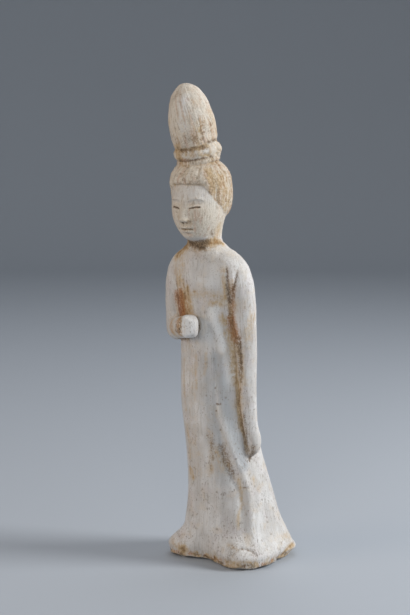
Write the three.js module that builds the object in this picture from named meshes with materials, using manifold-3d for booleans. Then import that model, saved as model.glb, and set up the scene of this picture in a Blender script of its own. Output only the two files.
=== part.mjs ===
// A standing court attendant in the manner of a Tang tomb figure: white-slipped earthenware,
// pressed and modelled in one piece, so the whole figure is one closed solid.
// Millimetres, +Z up. The figure faces -Y and its left hand is on the +X side.
// The origin is on the flat underside, at the middle of the skirt's hem.
import * as THREE from "three";
import { mergeVertices } from "three/addons/utils/BufferGeometryUtils.js";
import Module from "manifold-3d";

const wasm = await Module();
wasm.setup();

// Driving size. The carving is free form, so every other size is counted in modules of the height.
const HEIGHT = 300;
const MODULES_HIGH = 300;
const MODULE = HEIGHT / MODULES_HIGH;

// The skirt and torso, level by level: height, middle (x to the left hand, y to the back),
// half width, half depth, and how square the section is (2 is an ellipse).
const BODY_LEVELS = [
  { z: 0, x: 0, y: 1.5, wide: 30.5, deep: 27, square: 3.2 },
  { z: 8, x: 0, y: 1.2, wide: 31, deep: 27.5, square: 3.2 },
  { z: 16, x: 0, y: 0.6, wide: 29.2, deep: 26, square: 3.0 },
  { z: 24, x: -0.3, y: -0.2, wide: 28.3, deep: 25, square: 2.9 },
  { z: 36, x: -0.9, y: -1.1, wide: 27, deep: 23.6, square: 2.8 },
  { z: 50, x: -2.1, y: -2.6, wide: 25.6, deep: 22, square: 2.6 },
  { z: 72, x: -4.6, y: -5.4, wide: 23.8, deep: 20, square: 2.4 },
  { z: 100, x: -8, y: -8.1, wide: 22.8, deep: 18.8, square: 2.3 },
  { z: 136, x: -9, y: -9.6, wide: 22, deep: 17.8, square: 2.2 },
  { z: 165, x: -9.5, y: -13.4, wide: 21.6, deep: 16.6, square: 2.2 },
  { z: 180, x: -9.6, y: -14.4, wide: 22, deep: 16.6, square: 2.1 },
  { z: 191, x: -9.9, y: -15.8, wide: 17, deep: 13.4, square: 2.0 },
  { z: 200, x: -10.3, y: -17.2, wide: 11, deep: 10.6, square: 2.0 },
];

// The hem's lobes over the two hidden shoe tips and at the back corners, and the hollow between
// the shoes: angle from the front towards the left hand, angular width, depth, top of the swell.
// The last one tucks the edge in under the raised corner at the left.
const HEM_LOBES = [
  { at: -57, spread: 16, out: 8.2, top: 22 },
  { at: -58, spread: 18, out: 1.6, top: 42 },
  { at: 38, spread: 12, out: 4.8, top: 22 },
  { at: 69, spread: 20, out: 4.6, top: 24 },
  { at: 134, spread: 20, out: 3.6, top: 34 },
  { at: 132, spread: 15, out: 3.4, top: 11 },
  { at: -140, spread: 20, out: 5.5, top: 28 },
  { at: -12, spread: 14, out: -3.2, top: 22 },
  { at: 127, spread: 13, out: -3.8, top: 6 },
];
const HEM_WIDEST = 7;
const HEM_TUCK = 2.2;

// Long folds of the skirt: each runs through stops of [height, angle], and swells out or cuts in.
const SKIRT_FOLDS = [
  { stops: [[104, 35], [82, 39], [66, 40], [56, 47], [46, 53], [30, 51], [14, 50]], spread: 5, out: -1.5 },
  { stops: [[98, 40], [82, 48], [66, 56], [52, 61], [34, 60], [10, 56]], spread: 7, out: 1.4 },
  { stops: [[150, -22], [90, -26], [20, -24]], spread: 6, out: -0.5 },
  { stops: [[150, 12], [90, 8], [20, 10]], spread: 6, out: -0.45 },
  { stops: [[120, 205], [70, 202], [16, 206]], spread: 8, out: -1.1 },
  { stops: [[120, 165], [70, 160], [16, 158]], spread: 8, out: -1.0 },
  { stops: [[110, 184], [60, 182], [14, 182]], spread: 9, out: 0.8 },
  { stops: [[110, 238], [60, 236], [14, 232]], spread: 8, out: -0.7 },
];
const FOLD_FADE = 12;

// The high belt: two incised lines round the body.
const BELT_LINES = [172.8, 164.8];
const BELT_LINE = { deep: 0.35, spread: 0.8 };

// The shoulders and the two arms, as places with a radius. Each place is measured from the
// middle of the body at its own height.
const SHOULDERS = [
  [
    { x: -7, y: 0.5, z: 191, r: 10 },
    { x: -18.2, y: 0.5, z: 184, r: 10.2 },
    { x: -24.6, y: 0.4, z: 166, r: 7.2 },
  ],
  [
    { x: 7, y: 0.5, z: 191, r: 10 },
    { x: 17.9, y: 0.5, z: 183.6, r: 10.2 },
    { x: 24.4, y: 0.3, z: 165, r: 7.2 },
  ],
];
const LEFT_ARM = [
  { x: 17.2, y: 0.5, z: 187.5, r: 7 },
  { x: 22, y: 0.4, z: 178.5, r: 8.6 },
  { x: 25.3, y: 0.2, z: 167, r: 8.3 },
  { x: 26.1, y: -0.2, z: 152, r: 7.2 },
  { x: 26.1, y: -0.7, z: 134, r: 6.3 },
  { x: 26, y: -1.2, z: 114, r: 5.8 },
  { x: 25.7, y: -1.5, z: 98, r: 5.5 },
  { x: 25.4, y: -1.5, z: 88, r: 5.1 },
  { x: 26.3, y: -1.6, z: 79, r: 5 },
  { x: 25.6, y: -2.8, z: 74, r: 4.2 },
  { x: 23.4, y: -4.4, z: 70.2, r: 2.4 },
];
const RIGHT_ARM = [
  { x: -16.6, y: -0.6, z: 187.5, r: 7 },
  { x: -20.6, y: -1.4, z: 178.5, r: 8.7 },
  { x: -23, y: -2.2, z: 168, r: 8.5 },
  { x: -24.6, y: -2.2, z: 156, r: 8 },
  { x: -24.9, y: -3.6, z: 146.7, r: 7.7 },
  { x: -18.5, y: -10.5, z: 147.7, r: 7.1 },
  { x: -9.5, y: -18, z: 149.2, r: 7 },
  { x: -2.5, y: -22, z: 150.4, r: 6.9 },
];

// The closed hand: a rounded block ahead of the right arm's last place.
const FIST = { side: 3.8, front: 2.4, above: 0.7, long: 6.4, wide: 5.2, high: 6.9, turn: 46, square: 3.2 };

// The neck and the head. The head is carved in its own frame, which bows forward and turns a
// little to the left, and the neck widens into it.
const NECK = {
  foot: { x: -10.5, y: -17, z: 190, r: 9.4 },
  top: { x: -0.5, y: 4.4, z: -8, r: 12.1 },
  narrow: 203,
};
const HEAD = { x: -11, y: -21.2, z: 228, bow: 8, turn: 6 };
const SKULL = { x: 0, y: 2.4, z: 3.6, wide: 17.5, deep: 18.9, high: 19.8 };
const FACE = { x: 0, y: -2.6, z: -3.6, wide: 16, deep: 16.6, high: 20.2 };
const JAW = { x: 0, y: -7.8, z: -13.6, wide: 9.4, deep: 9.8, high: 9.4 };
const HAIR_CROWN = { x: 0, y: 2.6, z: 5.4, wide: 18.8, deep: 19.8, high: 19.6 };
const HAIR_TOP = { x: 0, y: 2.4, z: 12, wide: 18.8, deep: 19.6, high: 14.8 };
const HAIR_NAPE = { x: 0, y: 4.6, z: -3, wide: 15.8, deep: 16.2, high: 15 };
const HAIRLINE = [
  { y: -22, z: 12.6 },
  { y: -14, z: 12.4 },
  { y: -12, z: 11 },
  { y: -10.6, z: 7.6 },
  { y: -9.2, z: 4.4 },
  { y: -7.6, z: 1.6 },
  { y: -5.7, z: -1 },
  { y: -1.9, z: -4.6 },
  { y: 2.1, z: -8 },
  { y: 9, z: -9.4 },
  { y: 18, z: -10.5 },
  { y: 26, z: -11 },
];

// The features of the face, in the head's frame: a place on the face, a spread and a height.
const FEATURES = [
  { x: 0, z: -19.8, wide: 4, high: 2.6, out: 0.8 },
  { x: 0, z: -15.9, wide: 3.6, high: 1.1, out: 1.5 },
  { x: 0, z: -13.4, wide: 3.4, high: 0.8, out: 1.0 },
  { x: 6.8, z: -1.4, wide: 3.8, high: 2.2, out: -1.3, mirrored: true },
  { x: 6.9, z: -2.0, wide: 2.8, high: 1.2, out: 1.0, mirrored: true },
  { x: 2.0, z: -9.6, wide: 1.2, high: 1.3, out: 1.0, mirrored: true },
  { x: 8.8, z: -10, wide: 4.5, high: 4.5, out: 0.7, mirrored: true },
];
const NOSE = { brow: 5.5, root: 2.5, tip: -9.2, base: -11.4, wide: 2, flare: 0.6, low: 0.7, proud: 3.1 };
const FACE_FRONT = { from: -2, to: -9 };

// The tall knot of hair, the cord round its foot, its bow and the narrow waist inside the cord.
const KNOT = { x: -12.6, y: -26.6, z: 273, wide: 14, deep: 14.8, above: 27, below: 29, bow: 11, lean: 4 };
const CORD = { x: -12, y: -23.5, z: 258.7, radius: 11.7, thick: 2.7, tall: 3.9, bow: 12, turn: -30 };
const CORD_BOW = { x: 7.4, y: 9.8, z: -1.25, wide: 3.3, deep: 3.8, high: 5 };
const WAIST = { radius: 13.1, high: 8 };

// How softly neighbouring forms run into one another.
const SOFT = {
  shoulder: 6,
  torso: 2,
  neck: 2.5,
  nape: 4,
  head: 4,
  crown: 1.5,
  hair: 1.2,
  edge: 3,
  cord: 0.6,
  bow: 1.6,
  waist: 1,
};

// The nets: how finely each form is faceted, and how far apart the rows of the main net lie.
const PITCH = { knot: 3.2, cord: 1.2, head: 2, neck: 1.5, shoulder: 3.2, belt: 1.2, skirt: 5.8, hem: 2.8 };
const CROWN_RISES = [90, 82, 73, 63, 52, 41, 30, 20, 10];
const FRONT_DENSE = { body: 0.1, neck: 0.3, face: 0.45, crown: 0.2 };
const SOLE_RINGS = [0.94, 0.6, 0];
const SEARCH_STEP = 0.5;
const COLUMNS = 40;
const LIMB_SIDES = 12;
const LIMB_STEPS_PER_PLACE = 3;
const LIMB_END_ROWS = 3;
const FIST_SIDES = 12;
const FIST_RINGS = 10;

const rad = THREE.MathUtils.degToRad;
const lerp = THREE.MathUtils.lerp;
const clamp = THREE.MathUtils.clamp;
const bell = (distance, spread) => Math.exp(-0.5 * (distance / spread) ** 2);

// Rises softly from 0 at one value to 1 at the other, in either direction.
function smooth(from, to, value) {
  const t = clamp((value - from) / (to - from), 0, 1);
  return t * t * (3 - 2 * t);
}

// The lower of two fields, with their meeting rounded over the given width.
function softMin(a, b, width) {
  const near = Math.max(width - Math.abs(a - b), 0) / width;
  return Math.min(a, b) - (near * near * width) / 4;
}

const softMax = (a, b, width) => -softMin(-a, -b, width);

// A smooth value through rows that hold the place under one key and the value under another.
function through(rows, at, key, place) {
  const last = rows.length - 1;
  if (place <= rows[0][at]) {
    return rows[0][key];
  }
  if (place >= rows[last][at]) {
    return rows[last][key];
  }
  let i = 0;
  while (rows[i + 1][at] < place) {
    i += 1;
  }
  const before = rows[Math.max(i - 1, 0)];
  const after = rows[Math.min(i + 2, last)];
  const span = rows[i + 1][at] - rows[i][at];
  const slopeIn = (rows[i + 1][key] - before[key]) / (rows[i + 1][at] - before[at]);
  const slopeOut = (after[key] - rows[i][key]) / (after[at] - rows[i][at]);
  const t = (place - rows[i][at]) / span;
  const low = rows[i][key] * (1 + 2 * t) * (1 - t) ** 2 + rows[i + 1][key] * t * t * (3 - 2 * t);
  return low + span * (slopeIn * t * (1 - t) ** 2 - slopeOut * t * t * (1 - t));
}

// The middle of the body at a height.
const middle = (z) => ({
  x: through(BODY_LEVELS, "z", "x", z),
  y: through(BODY_LEVELS, "z", "y", z),
});

// The difference between two angles in degrees, from -180 to 180.
const turned = (a, b) => THREE.MathUtils.euclideanModulo(a - b + 180, 360) - 180;

// How far the folds and the hem stand out from the plain section.
function drapery(angle, z) {
  let out = 0;
  for (const fold of SKIRT_FOLDS) {
    const rows = fold.stops.map(([height, at]) => ({ height, at })).reverse();
    const top = rows[rows.length - 1].height;
    const foot = rows[0].height;
    const live = smooth(top + FOLD_FADE, top - FOLD_FADE, z) * smooth(foot - FOLD_FADE, foot + FOLD_FADE, z);
    const at = through(rows, "height", "at", z);
    out += fold.out * live * bell(turned(angle, at), fold.spread);
  }
  for (const lobe of HEM_LOBES) {
    out += lobe.out * smooth(lobe.top, lobe.top * 0.3, z) * bell(turned(angle, lobe.at), lobe.spread);
  }
  out -= HEM_TUCK * clamp(1 - z / HEM_WIDEST, 0, 1) ** 2;
  for (const line of BELT_LINES) {
    out -= BELT_LINE.deep * bell(z - line, BELT_LINE.spread);
  }
  return out;
}

// Skirt and torso: the distance outside the section at the point's own height.
function bodyField(p) {
  const m = middle(p.z);
  const wide = through(BODY_LEVELS, "z", "wide", p.z);
  const deep = through(BODY_LEVELS, "z", "deep", p.z);
  const square = through(BODY_LEVELS, "z", "square", p.z);
  const side = p.x - m.x;
  const front = m.y - p.y;
  const reach = Math.hypot(side, front) + 1e-9;
  const across = Math.abs(side / reach / wide) ** square;
  const along = Math.abs(front / reach / deep) ** square;
  const angle = THREE.MathUtils.radToDeg(Math.atan2(side, front));
  const section = (across + along) ** (-1 / square) + drapery(angle, p.z);
  const top = BODY_LEVELS[BODY_LEVELS.length - 1].z;
  return softMax(reach - section, p.z - top, SOFT.torso);
}

// A round bar between two places, thinner or thicker along its way.
function barField(p, a, b) {
  const way = { x: b.x - a.x, y: b.y - a.y, z: b.z - a.z };
  const length = way.x ** 2 + way.y ** 2 + way.z ** 2;
  const along = ((p.x - a.x) * way.x + (p.y - a.y) * way.y + (p.z - a.z) * way.z) / length;
  const t = clamp(along, 0, 1);
  const gap = Math.hypot(p.x - a.x - t * way.x, p.y - a.y - t * way.y, p.z - a.z - t * way.z);
  return gap - lerp(a.r, b.r, t);
}

// An ellipsoid, as a distance that is true close to its surface.
function eggField(p, egg, high = egg.high) {
  const x = (p.x - egg.x) / egg.wide;
  const y = (p.y - egg.y) / egg.deep;
  const z = (p.z - egg.z) / high;
  const reach = Math.hypot(x, y, z);
  const slope = Math.hypot(x / egg.wide, y / egg.deep, z / high) + 1e-9;
  return (reach * (reach - 1)) / slope;
}

// Takes a world point into a frame that stands at a place, turned and then bowed forward.
function local(p, frame) {
  const turn = rad(frame.turn ?? 0);
  const bow = rad(frame.bow ?? 0);
  const x0 = p.x - frame.x;
  const y0 = p.y - frame.y;
  const z0 = p.z - frame.z;
  const x = x0 * Math.cos(turn) + y0 * Math.sin(turn);
  const y1 = y0 * Math.cos(turn) - x0 * Math.sin(turn);
  const y = y1 * Math.cos(bow) + z0 * Math.sin(bow);
  const z = z0 * Math.cos(bow) - y1 * Math.sin(bow);
  return { x, y, z };
}

// The way back, from a frame to the world.
function world(q, frame) {
  const turn = rad(frame.turn ?? 0);
  const bow = rad(frame.bow ?? 0);
  const y1 = q.y * Math.cos(bow) - q.z * Math.sin(bow);
  const z1 = q.y * Math.sin(bow) + q.z * Math.cos(bow);
  const x1 = q.x * Math.cos(turn) - y1 * Math.sin(turn);
  const y2 = q.x * Math.sin(turn) + y1 * Math.cos(turn);
  return { x: frame.x + x1, y: frame.y + y2, z: frame.z + z1 };
}

// The relief of the face, in the head's frame.
function featureRelief(q) {
  if (q.y > 0) {
    return 0;
  }
  let out = 0;
  for (const f of FEATURES) {
    const side = f.mirrored ? Math.abs(q.x) - f.x : q.x - f.x;
    out += f.out * bell(side, f.wide) * bell(q.z - f.z, f.high);
  }
  const down = clamp((NOSE.root - q.z) / (NOSE.root - NOSE.tip), 0, 1);
  const ridge = lerp(NOSE.low, NOSE.proud, down ** 1.3) * smooth(NOSE.brow, NOSE.root, q.z);
  const under = smooth(NOSE.base, NOSE.tip, q.z);
  out += ridge * under * bell(q.x, NOSE.wide + NOSE.flare * down);
  return out * smooth(FACE_FRONT.from, FACE_FRONT.to, q.y);
}

// Skull, face and hair, without the knot.
function headField(p) {
  const q = local(p, HEAD);
  const skull = softMin(eggField(q, SKULL), eggField(q, FACE), SOFT.head);
  const flesh = softMin(skull, eggField(q, JAW), SOFT.head) - featureRelief(q);
  const crown = softMin(eggField(q, HAIR_CROWN), eggField(q, HAIR_TOP), SOFT.crown);
  const hair = softMin(crown, eggField(q, HAIR_NAPE), SOFT.head);
  const below = (through(HAIRLINE, "y", "z", q.y) - q.z) * 0.4;
  return softMin(flesh, softMax(hair, below, SOFT.edge), SOFT.hair);
}

// A ring that lies in its frame's level plane, oval in section.
function ringField(p, ring) {
  const q = local(p, ring);
  const out = Math.hypot(q.x, q.y) - ring.radius;
  const reach = Math.hypot(out / ring.thick, q.z / ring.tall);
  return (reach - 1) * ring.thick;
}

// The tall knot, egg shaped, with its cord and the bow that ties the cord.
function knotField(p) {
  const q = local(p, KNOT);
  q.x += q.z * Math.tan(rad(KNOT.lean));
  const egg = { ...KNOT, x: 0, y: 0, z: 0 };
  const knot = eggField(q, egg, q.z > 0 ? KNOT.above : KNOT.below);
  const w = local(p, CORD);
  const waist = softMax(Math.hypot(w.x, w.y) - WAIST.radius, Math.abs(w.z) - WAIST.high, SOFT.waist);
  const cord = softMin(ringField(p, CORD), eggField(w, CORD_BOW), SOFT.bow);
  return softMin(softMin(knot, waist, SOFT.cord), cord, SOFT.cord);
}

// The whole upright mass without its arms.
function figureField(p) {
  let field = bodyField(p);
  for (const places of SHOULDERS) {
    const [inner, middling, outer] = places.map(atBody);
    const shoulder = Math.min(barField(p, inner, middling), barField(p, middling, outer));
    field = softMin(field, shoulder, SOFT.shoulder);
  }
  const neckTop = { ...world(NECK.top, HEAD), r: NECK.top.r };
  field = softMin(field, barField(p, NECK.foot, neckTop), SOFT.neck);
  field = softMin(field, headField(p), SOFT.nape);
  return softMin(field, knotField(p), SOFT.cord);
}

// A place given from the middle of the body, in the figure's own frame.
function atBody(place) {
  const m = middle(place.z);
  return { ...place, x: place.x + m.x, y: place.y + m.y };
}

// The distance along a ray from inside the figure to its surface.
function reachOf(field, from, way) {
  const at = (d) => field({ x: from.x + way.x * d, y: from.y + way.y * d, z: from.z + way.z * d });
  let far = SEARCH_STEP;
  while (at(far) < 0) {
    far += SEARCH_STEP;
  }
  let near = far - SEARCH_STEP;
  for (let i = 0; i < 12; i += 1) {
    const half = (near + far) / 2;
    if (at(half) < 0) {
      near = half;
    } else {
      far = half;
    }
  }
  return (near + far) / 2;
}

// The line inside the figure that the net's rays start from, with the bow and turn of their
// plane and how much closer the rays lie in front.
function spineRows() {
  const body = BODY_LEVELS.filter((level) => level.z < NECK.foot.z);
  const rows = body.map(({ z, x, y }) => ({ z, x, y, bow: 0, turn: 0, dense: FRONT_DENSE.body }));
  const throat = { x: (HEAD.x + NECK.foot.x) / 2, y: (HEAD.y + NECK.foot.y) / 2 };
  rows.push({ z: NECK.foot.z, x: NECK.foot.x, y: NECK.foot.y, bow: 0, turn: 0, dense: 0 });
  rows.push({ ...HEAD, ...throat, z: HEAD.z - FACE.high, dense: FRONT_DENSE.neck });
  rows.push({ ...HEAD, dense: FRONT_DENSE.face });
  rows.push({ ...HEAD, z: HEAD.z + FACE.high, dense: FRONT_DENSE.crown });
  rows.push({ z: CORD.z, x: CORD.x, y: CORD.y, bow: CORD.bow, turn: 0, dense: 0 });
  rows.push({ z: KNOT.z, x: KNOT.x, y: KNOT.y, bow: KNOT.bow, turn: 0, dense: 0 });
  return rows;
}

// The rows of the net that is drawn tight over the figure, from the crown to the underside.
function netRows() {
  const crown = { x: KNOT.x, y: KNOT.y, z: KNOT.z };
  const rows = CROWN_RISES.map((rise) => ({ ...crown, bow: KNOT.bow, turn: 0, rise, dense: 0 }));
  const spine = spineRows();
  const [beltTop, beltFoot] = BELT_LINES;
  const cordTop = CORD.z + CORD.tall + PITCH.cord;
  const cordFoot = CORD.z - CORD.tall - PITCH.cord;
  const hemTop = BODY_LEVELS[2].z;
  const neckFoot = NECK.foot.z + NECK.foot.r / 2;
  const bands = [
    { from: KNOT.z, to: cordTop + 2 * PITCH.cord, step: PITCH.knot },
    { from: cordTop, to: cordFoot, step: PITCH.cord },
    { from: cordFoot - PITCH.head, to: NECK.narrow + PITCH.neck, step: PITCH.head },
    { from: NECK.narrow, to: neckFoot, step: PITCH.neck },
    { from: neckFoot - PITCH.shoulder, to: beltTop + 2 * PITCH.shoulder, step: PITCH.shoulder },
    { from: beltTop + 2 * PITCH.belt, to: beltTop - PITCH.belt, step: PITCH.belt },
    { from: (beltTop + beltFoot) / 2, to: (beltTop + beltFoot) / 2, step: PITCH.belt },
    { from: beltFoot + PITCH.belt, to: beltFoot - 2 * PITCH.belt, step: PITCH.belt },
    { from: beltFoot - PITCH.skirt, to: hemTop + PITCH.hem, step: PITCH.skirt },
    { from: hemTop, to: PITCH.hem / 3, step: PITCH.hem },
  ];
  const keys = ["x", "y", "bow", "turn", "dense"];
  for (const { from, to, step } of bands) {
    const count = Math.round((from - to) / step);
    for (let i = 0; i <= count; i += 1) {
      const z = lerp(from, to, i / Math.max(count, 1));
      const row = { z, rise: 0 };
      for (const key of keys) {
        row[key] = through(spine, "z", key, z);
      }
      rows.push(row);
    }
  }
  return rows;
}

// The column that carries everything but the arms. A sphere's net is drawn over the figure, and
// its last three rows close the flat underside.
function columnGeometry() {
  const rows = netRows();
  const count = rows.length + SOLE_RINGS.length;
  const net = new THREE.SphereGeometry(1, COLUMNS, count - 1);
  const spots = net.getAttribute("position");
  const ring = [];
  for (let j = 0; j < count; j += 1) {
    for (let i = 0; i <= COLUMNS; i += 1) {
      const index = j * (COLUMNS + 1) + i;
      if (j >= rows.length) {
        const share = SOLE_RINGS[j - rows.length];
        const hem = ring[i];
        spots.setXYZ(index, hem.x * share, hem.y * share, 0);
        continue;
      }
      const row = rows[j];
      const even = (2 * Math.PI * i) / COLUMNS;
      const angle = even - row.dense * Math.sin(even);
      const rise = rad(row.rise);
      const out = {
        x: Math.sin(angle) * Math.cos(rise),
        y: -Math.cos(angle) * Math.cos(rise),
        z: Math.sin(rise),
      };
      const way = world(out, { x: 0, y: 0, z: 0, bow: row.bow, turn: row.turn });
      const reach = reachOf(figureField, row, way);
      const spot = { x: row.x + way.x * reach, y: row.y + way.y * reach, z: row.z + way.z * reach };
      spots.setXYZ(index, spot.x, spot.y, spot.z);
      if (j === rows.length - 1) {
        ring[i] = spot;
      }
    }
  }
  return net;
}

// A limb through its places: a sphere's net, with its rows laid along the limb's line and its
// first and last rows rounding off the ends.
function limbGeometry(places) {
  const spots = places.map(atBody);
  const line = new THREE.CatmullRomCurve3(spots.map((s) => new THREE.Vector3(s.x, s.y, s.z)));
  const steps = (places.length - 1) * LIMB_STEPS_PER_PLACE;
  const frames = line.computeFrenetFrames(steps, false);
  const rows = steps + 1 + 2 * LIMB_END_ROWS;
  const net = new THREE.SphereGeometry(1, LIMB_SIDES, rows - 1);
  const position = net.getAttribute("position");
  for (let j = 0; j < rows; j += 1) {
    const step = clamp(j - LIMB_END_ROWS, 0, steps);
    const beyond = (j - LIMB_END_ROWS - step) / LIMB_END_ROWS;
    const t = line.getUtoTmapping(step / steps, 0);
    const centre = line.getPoint(t);
    const i = Math.min(Math.floor(t * (spots.length - 1)), spots.length - 2);
    const radius = lerp(spots[i].r, spots[i + 1].r, t * (spots.length - 1) - i);
    const swell = radius * Math.cos((beyond * Math.PI) / 2);
    const shift = radius * Math.sin((beyond * Math.PI) / 2);
    for (let k = 0; k <= LIMB_SIDES; k += 1) {
      const a = (2 * Math.PI * k) / LIMB_SIDES;
      const spot = centre
        .clone()
        .addScaledVector(frames.tangents[step], shift)
        .addScaledVector(frames.normals[step], swell * Math.cos(a))
        .addScaledVector(frames.binormals[step], -swell * Math.sin(a));
      position.setXYZ(j * (LIMB_SIDES + 1) + k, spot.x, spot.y, spot.z);
    }
  }
  return net;
}

// The closed hand, a sphere squared off into a rounded block.
function fistGeometry() {
  const net = new THREE.SphereGeometry(1, FIST_SIDES, FIST_RINGS);
  const position = net.getAttribute("position");
  const wrist = atBody(RIGHT_ARM[RIGHT_ARM.length - 1]);
  const frame = {
    x: wrist.x + FIST.side,
    y: wrist.y - FIST.front,
    z: wrist.z + FIST.above,
    turn: FIST.turn,
  };
  for (let i = 0; i < position.count; i += 1) {
    const v = new THREE.Vector3().fromBufferAttribute(position, i);
    const norm = Math.abs(v.x) ** FIST.square + Math.abs(v.y) ** FIST.square + Math.abs(v.z) ** FIST.square;
    v.multiplyScalar(norm ** (-1 / FIST.square));
    const spot = world({ x: v.x * FIST.wide, y: -v.z * FIST.long, z: v.y * FIST.high }, frame);
    position.setXYZ(i, spot.x, spot.y, spot.z);
  }
  return net;
}

// A closed mesh as a solid for joining.
function solidOf(geometry) {
  const bare = geometry.clone();
  bare.deleteAttribute("normal");
  bare.deleteAttribute("uv");
  const merged = mergeVertices(bare, 1e-4);
  const solid = new wasm.Manifold(
    new wasm.Mesh({
      numProp: 3,
      vertProperties: merged.getAttribute("position").array,
      triVerts: new Uint32Array(merged.index.array),
    }),
  );
  return solid;
}

function geometryOf(solid) {
  const mesh = solid.getMesh();
  const geometry = new THREE.BufferGeometry();
  geometry.setAttribute("position", new THREE.BufferAttribute(mesh.vertProperties, 3));
  geometry.setIndex(new THREE.BufferAttribute(mesh.triVerts, 1));
  geometry.computeVertexNormals();
  return geometry;
}

const parts = [columnGeometry(), limbGeometry(LEFT_ARM), limbGeometry(RIGHT_ARM), fistGeometry()];
const solids = parts.map(solidOf);
const joined = solids.reduce((sum, part) => sum.add(part));
const clay = geometryOf(joined);
clay.scale(MODULE, MODULE, MODULE);

const slippedClay = new THREE.MeshStandardMaterial({ color: 0xcbc2b4, roughness: 0.9, metalness: 0 });
const attendant = new THREE.Mesh(clay, slippedClay);
attendant.name = "attendant_figure";

const figure = new THREE.Group();
figure.add(attendant);
export default figure;
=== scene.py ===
"""The looks of a standing court attendant in white-slipped earthenware, 300 mm tall.

The carving is worked out in millimetres, with +Z up, the figure facing -Y and its left hand on
the +X side. Everything that goes to Blender is in metres.
"""

import math

import bmesh
import bpy
import numpy as np
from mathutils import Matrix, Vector

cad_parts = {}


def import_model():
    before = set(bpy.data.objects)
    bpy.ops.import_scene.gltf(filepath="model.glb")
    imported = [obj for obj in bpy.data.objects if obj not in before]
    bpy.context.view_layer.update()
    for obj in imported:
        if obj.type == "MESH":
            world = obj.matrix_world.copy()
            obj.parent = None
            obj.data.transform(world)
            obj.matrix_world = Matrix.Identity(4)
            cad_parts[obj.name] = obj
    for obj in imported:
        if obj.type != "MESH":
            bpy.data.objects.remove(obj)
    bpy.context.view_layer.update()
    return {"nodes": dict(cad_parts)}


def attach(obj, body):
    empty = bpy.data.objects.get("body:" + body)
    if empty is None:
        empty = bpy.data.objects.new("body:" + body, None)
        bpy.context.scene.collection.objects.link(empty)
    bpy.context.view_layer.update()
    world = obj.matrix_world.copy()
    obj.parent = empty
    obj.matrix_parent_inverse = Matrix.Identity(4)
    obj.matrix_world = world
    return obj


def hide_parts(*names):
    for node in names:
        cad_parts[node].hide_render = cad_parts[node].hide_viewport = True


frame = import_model()

MM = 0.001
NODE = "attendant_figure"

# The skirt and torso, level by level: height, middle x and y, half width, half depth, squareness.
BODY_LEVELS = np.array([
    (0, 0, 1.5, 30.5, 27, 3.2),
    (8, 0, 1.2, 31, 27.5, 3.2),
    (16, 0, 0.6, 29.2, 26, 3.0),
    (24, -0.3, -0.2, 28.3, 25, 2.9),
    (36, -0.9, -1.1, 27, 23.6, 2.8),
    (50, -2.1, -2.6, 25.6, 22, 2.6),
    (72, -4.6, -5.4, 23.8, 20, 2.4),
    (100, -8, -8.1, 22.8, 18.8, 2.3),
    (136, -9, -9.6, 22, 17.8, 2.2),
    (165, -9.5, -13.4, 21.6, 16.6, 2.2),
    (180, -9.6, -14.4, 22, 16.6, 2.1),
    (191, -9.9, -15.8, 17, 13.4, 2.0),
    (200, -10.3, -17.2, 11, 10.6, 2.0),
])

# The hem's lobes: angle from the front towards the left hand, angular width, swell, its top.
HEM_LOBES = [
    (-57, 16, 8.2, 22),
    (-58, 18, 1.6, 42),
    (38, 12, 4.8, 22),
    (69, 20, 4.6, 24),
    (134, 20, 3.6, 34),
    (132, 15, 3.4, 11),
    (-140, 20, 5.5, 28),
    (-12, 14, -3.2, 22),
    (127, 13, -3.8, 6),
]
HEM_WIDEST = 7
HEM_TUCK = 2.2

# Long folds of the skirt: stops of (height, angle) from the foot up, angular width, swell.
SKIRT_FOLDS = [
    ([(14, 50), (30, 51), (46, 53), (56, 47), (66, 40), (82, 39), (104, 35)], 5, -1.5),
    ([(10, 56), (34, 60), (52, 61), (66, 56), (82, 48), (98, 40)], 7, 1.4),
    ([(20, -24), (90, -26), (150, -22)], 6, -0.5),
    ([(20, 10), (90, 8), (150, 12)], 6, -0.45),
    ([(16, 206), (70, 202), (120, 205)], 8, -1.1),
    ([(16, 158), (70, 160), (120, 165)], 8, -1.0),
    ([(14, 182), (60, 182), (110, 184)], 9, 0.8),
    ([(14, 232), (60, 236), (110, 238)], 8, -0.7),
]
FOLD_FADE = 12

# Shoulders and arms: places with a radius, measured from the middle of the body at their height.
SHOULDERS = [
    [(-7, 0.5, 191, 10), (-18.2, 0.5, 184, 10.2), (-24.6, 0.4, 166, 7.2)],
    [(7, 0.5, 191, 10), (17.9, 0.5, 183.6, 10.2), (24.4, 0.3, 165, 7.2)],
]
LEFT_ARM = [
    (17.2, 0.5, 187.5, 7),
    (22, 0.4, 178.5, 8.6),
    (25.3, 0.2, 167, 8.3),
    (26.1, -0.2, 152, 7.2),
    (26.1, -0.7, 134, 6.3),
    (26, -1.2, 114, 5.8),
    (25.7, -1.5, 98, 5.5),
    (25.4, -1.5, 88, 5.1),
    (26.3, -1.6, 79, 5),
    (25.6, -2.8, 74, 4.2),
    (23.4, -4.4, 70.2, 2.4),
]
RIGHT_ARM = [
    (-16.6, -0.6, 187.5, 7),
    (-20.6, -1.4, 178.5, 8.7),
    (-23, -2.2, 168, 8.5),
    (-24.6, -2.2, 156, 8),
    (-24.9, -3.6, 146.7, 7.7),
    (-18.5, -10.5, 147.7, 7.1),
    (-9.5, -18, 149.2, 7),
    (-2.5, -22, 150.4, 6.9),
]
FIST = {"side": 3.8, "front": 2.4, "above": 0.7, "half": (5.2, 6.4, 6.9), "turn": 46, "square": 3.2}

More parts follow.
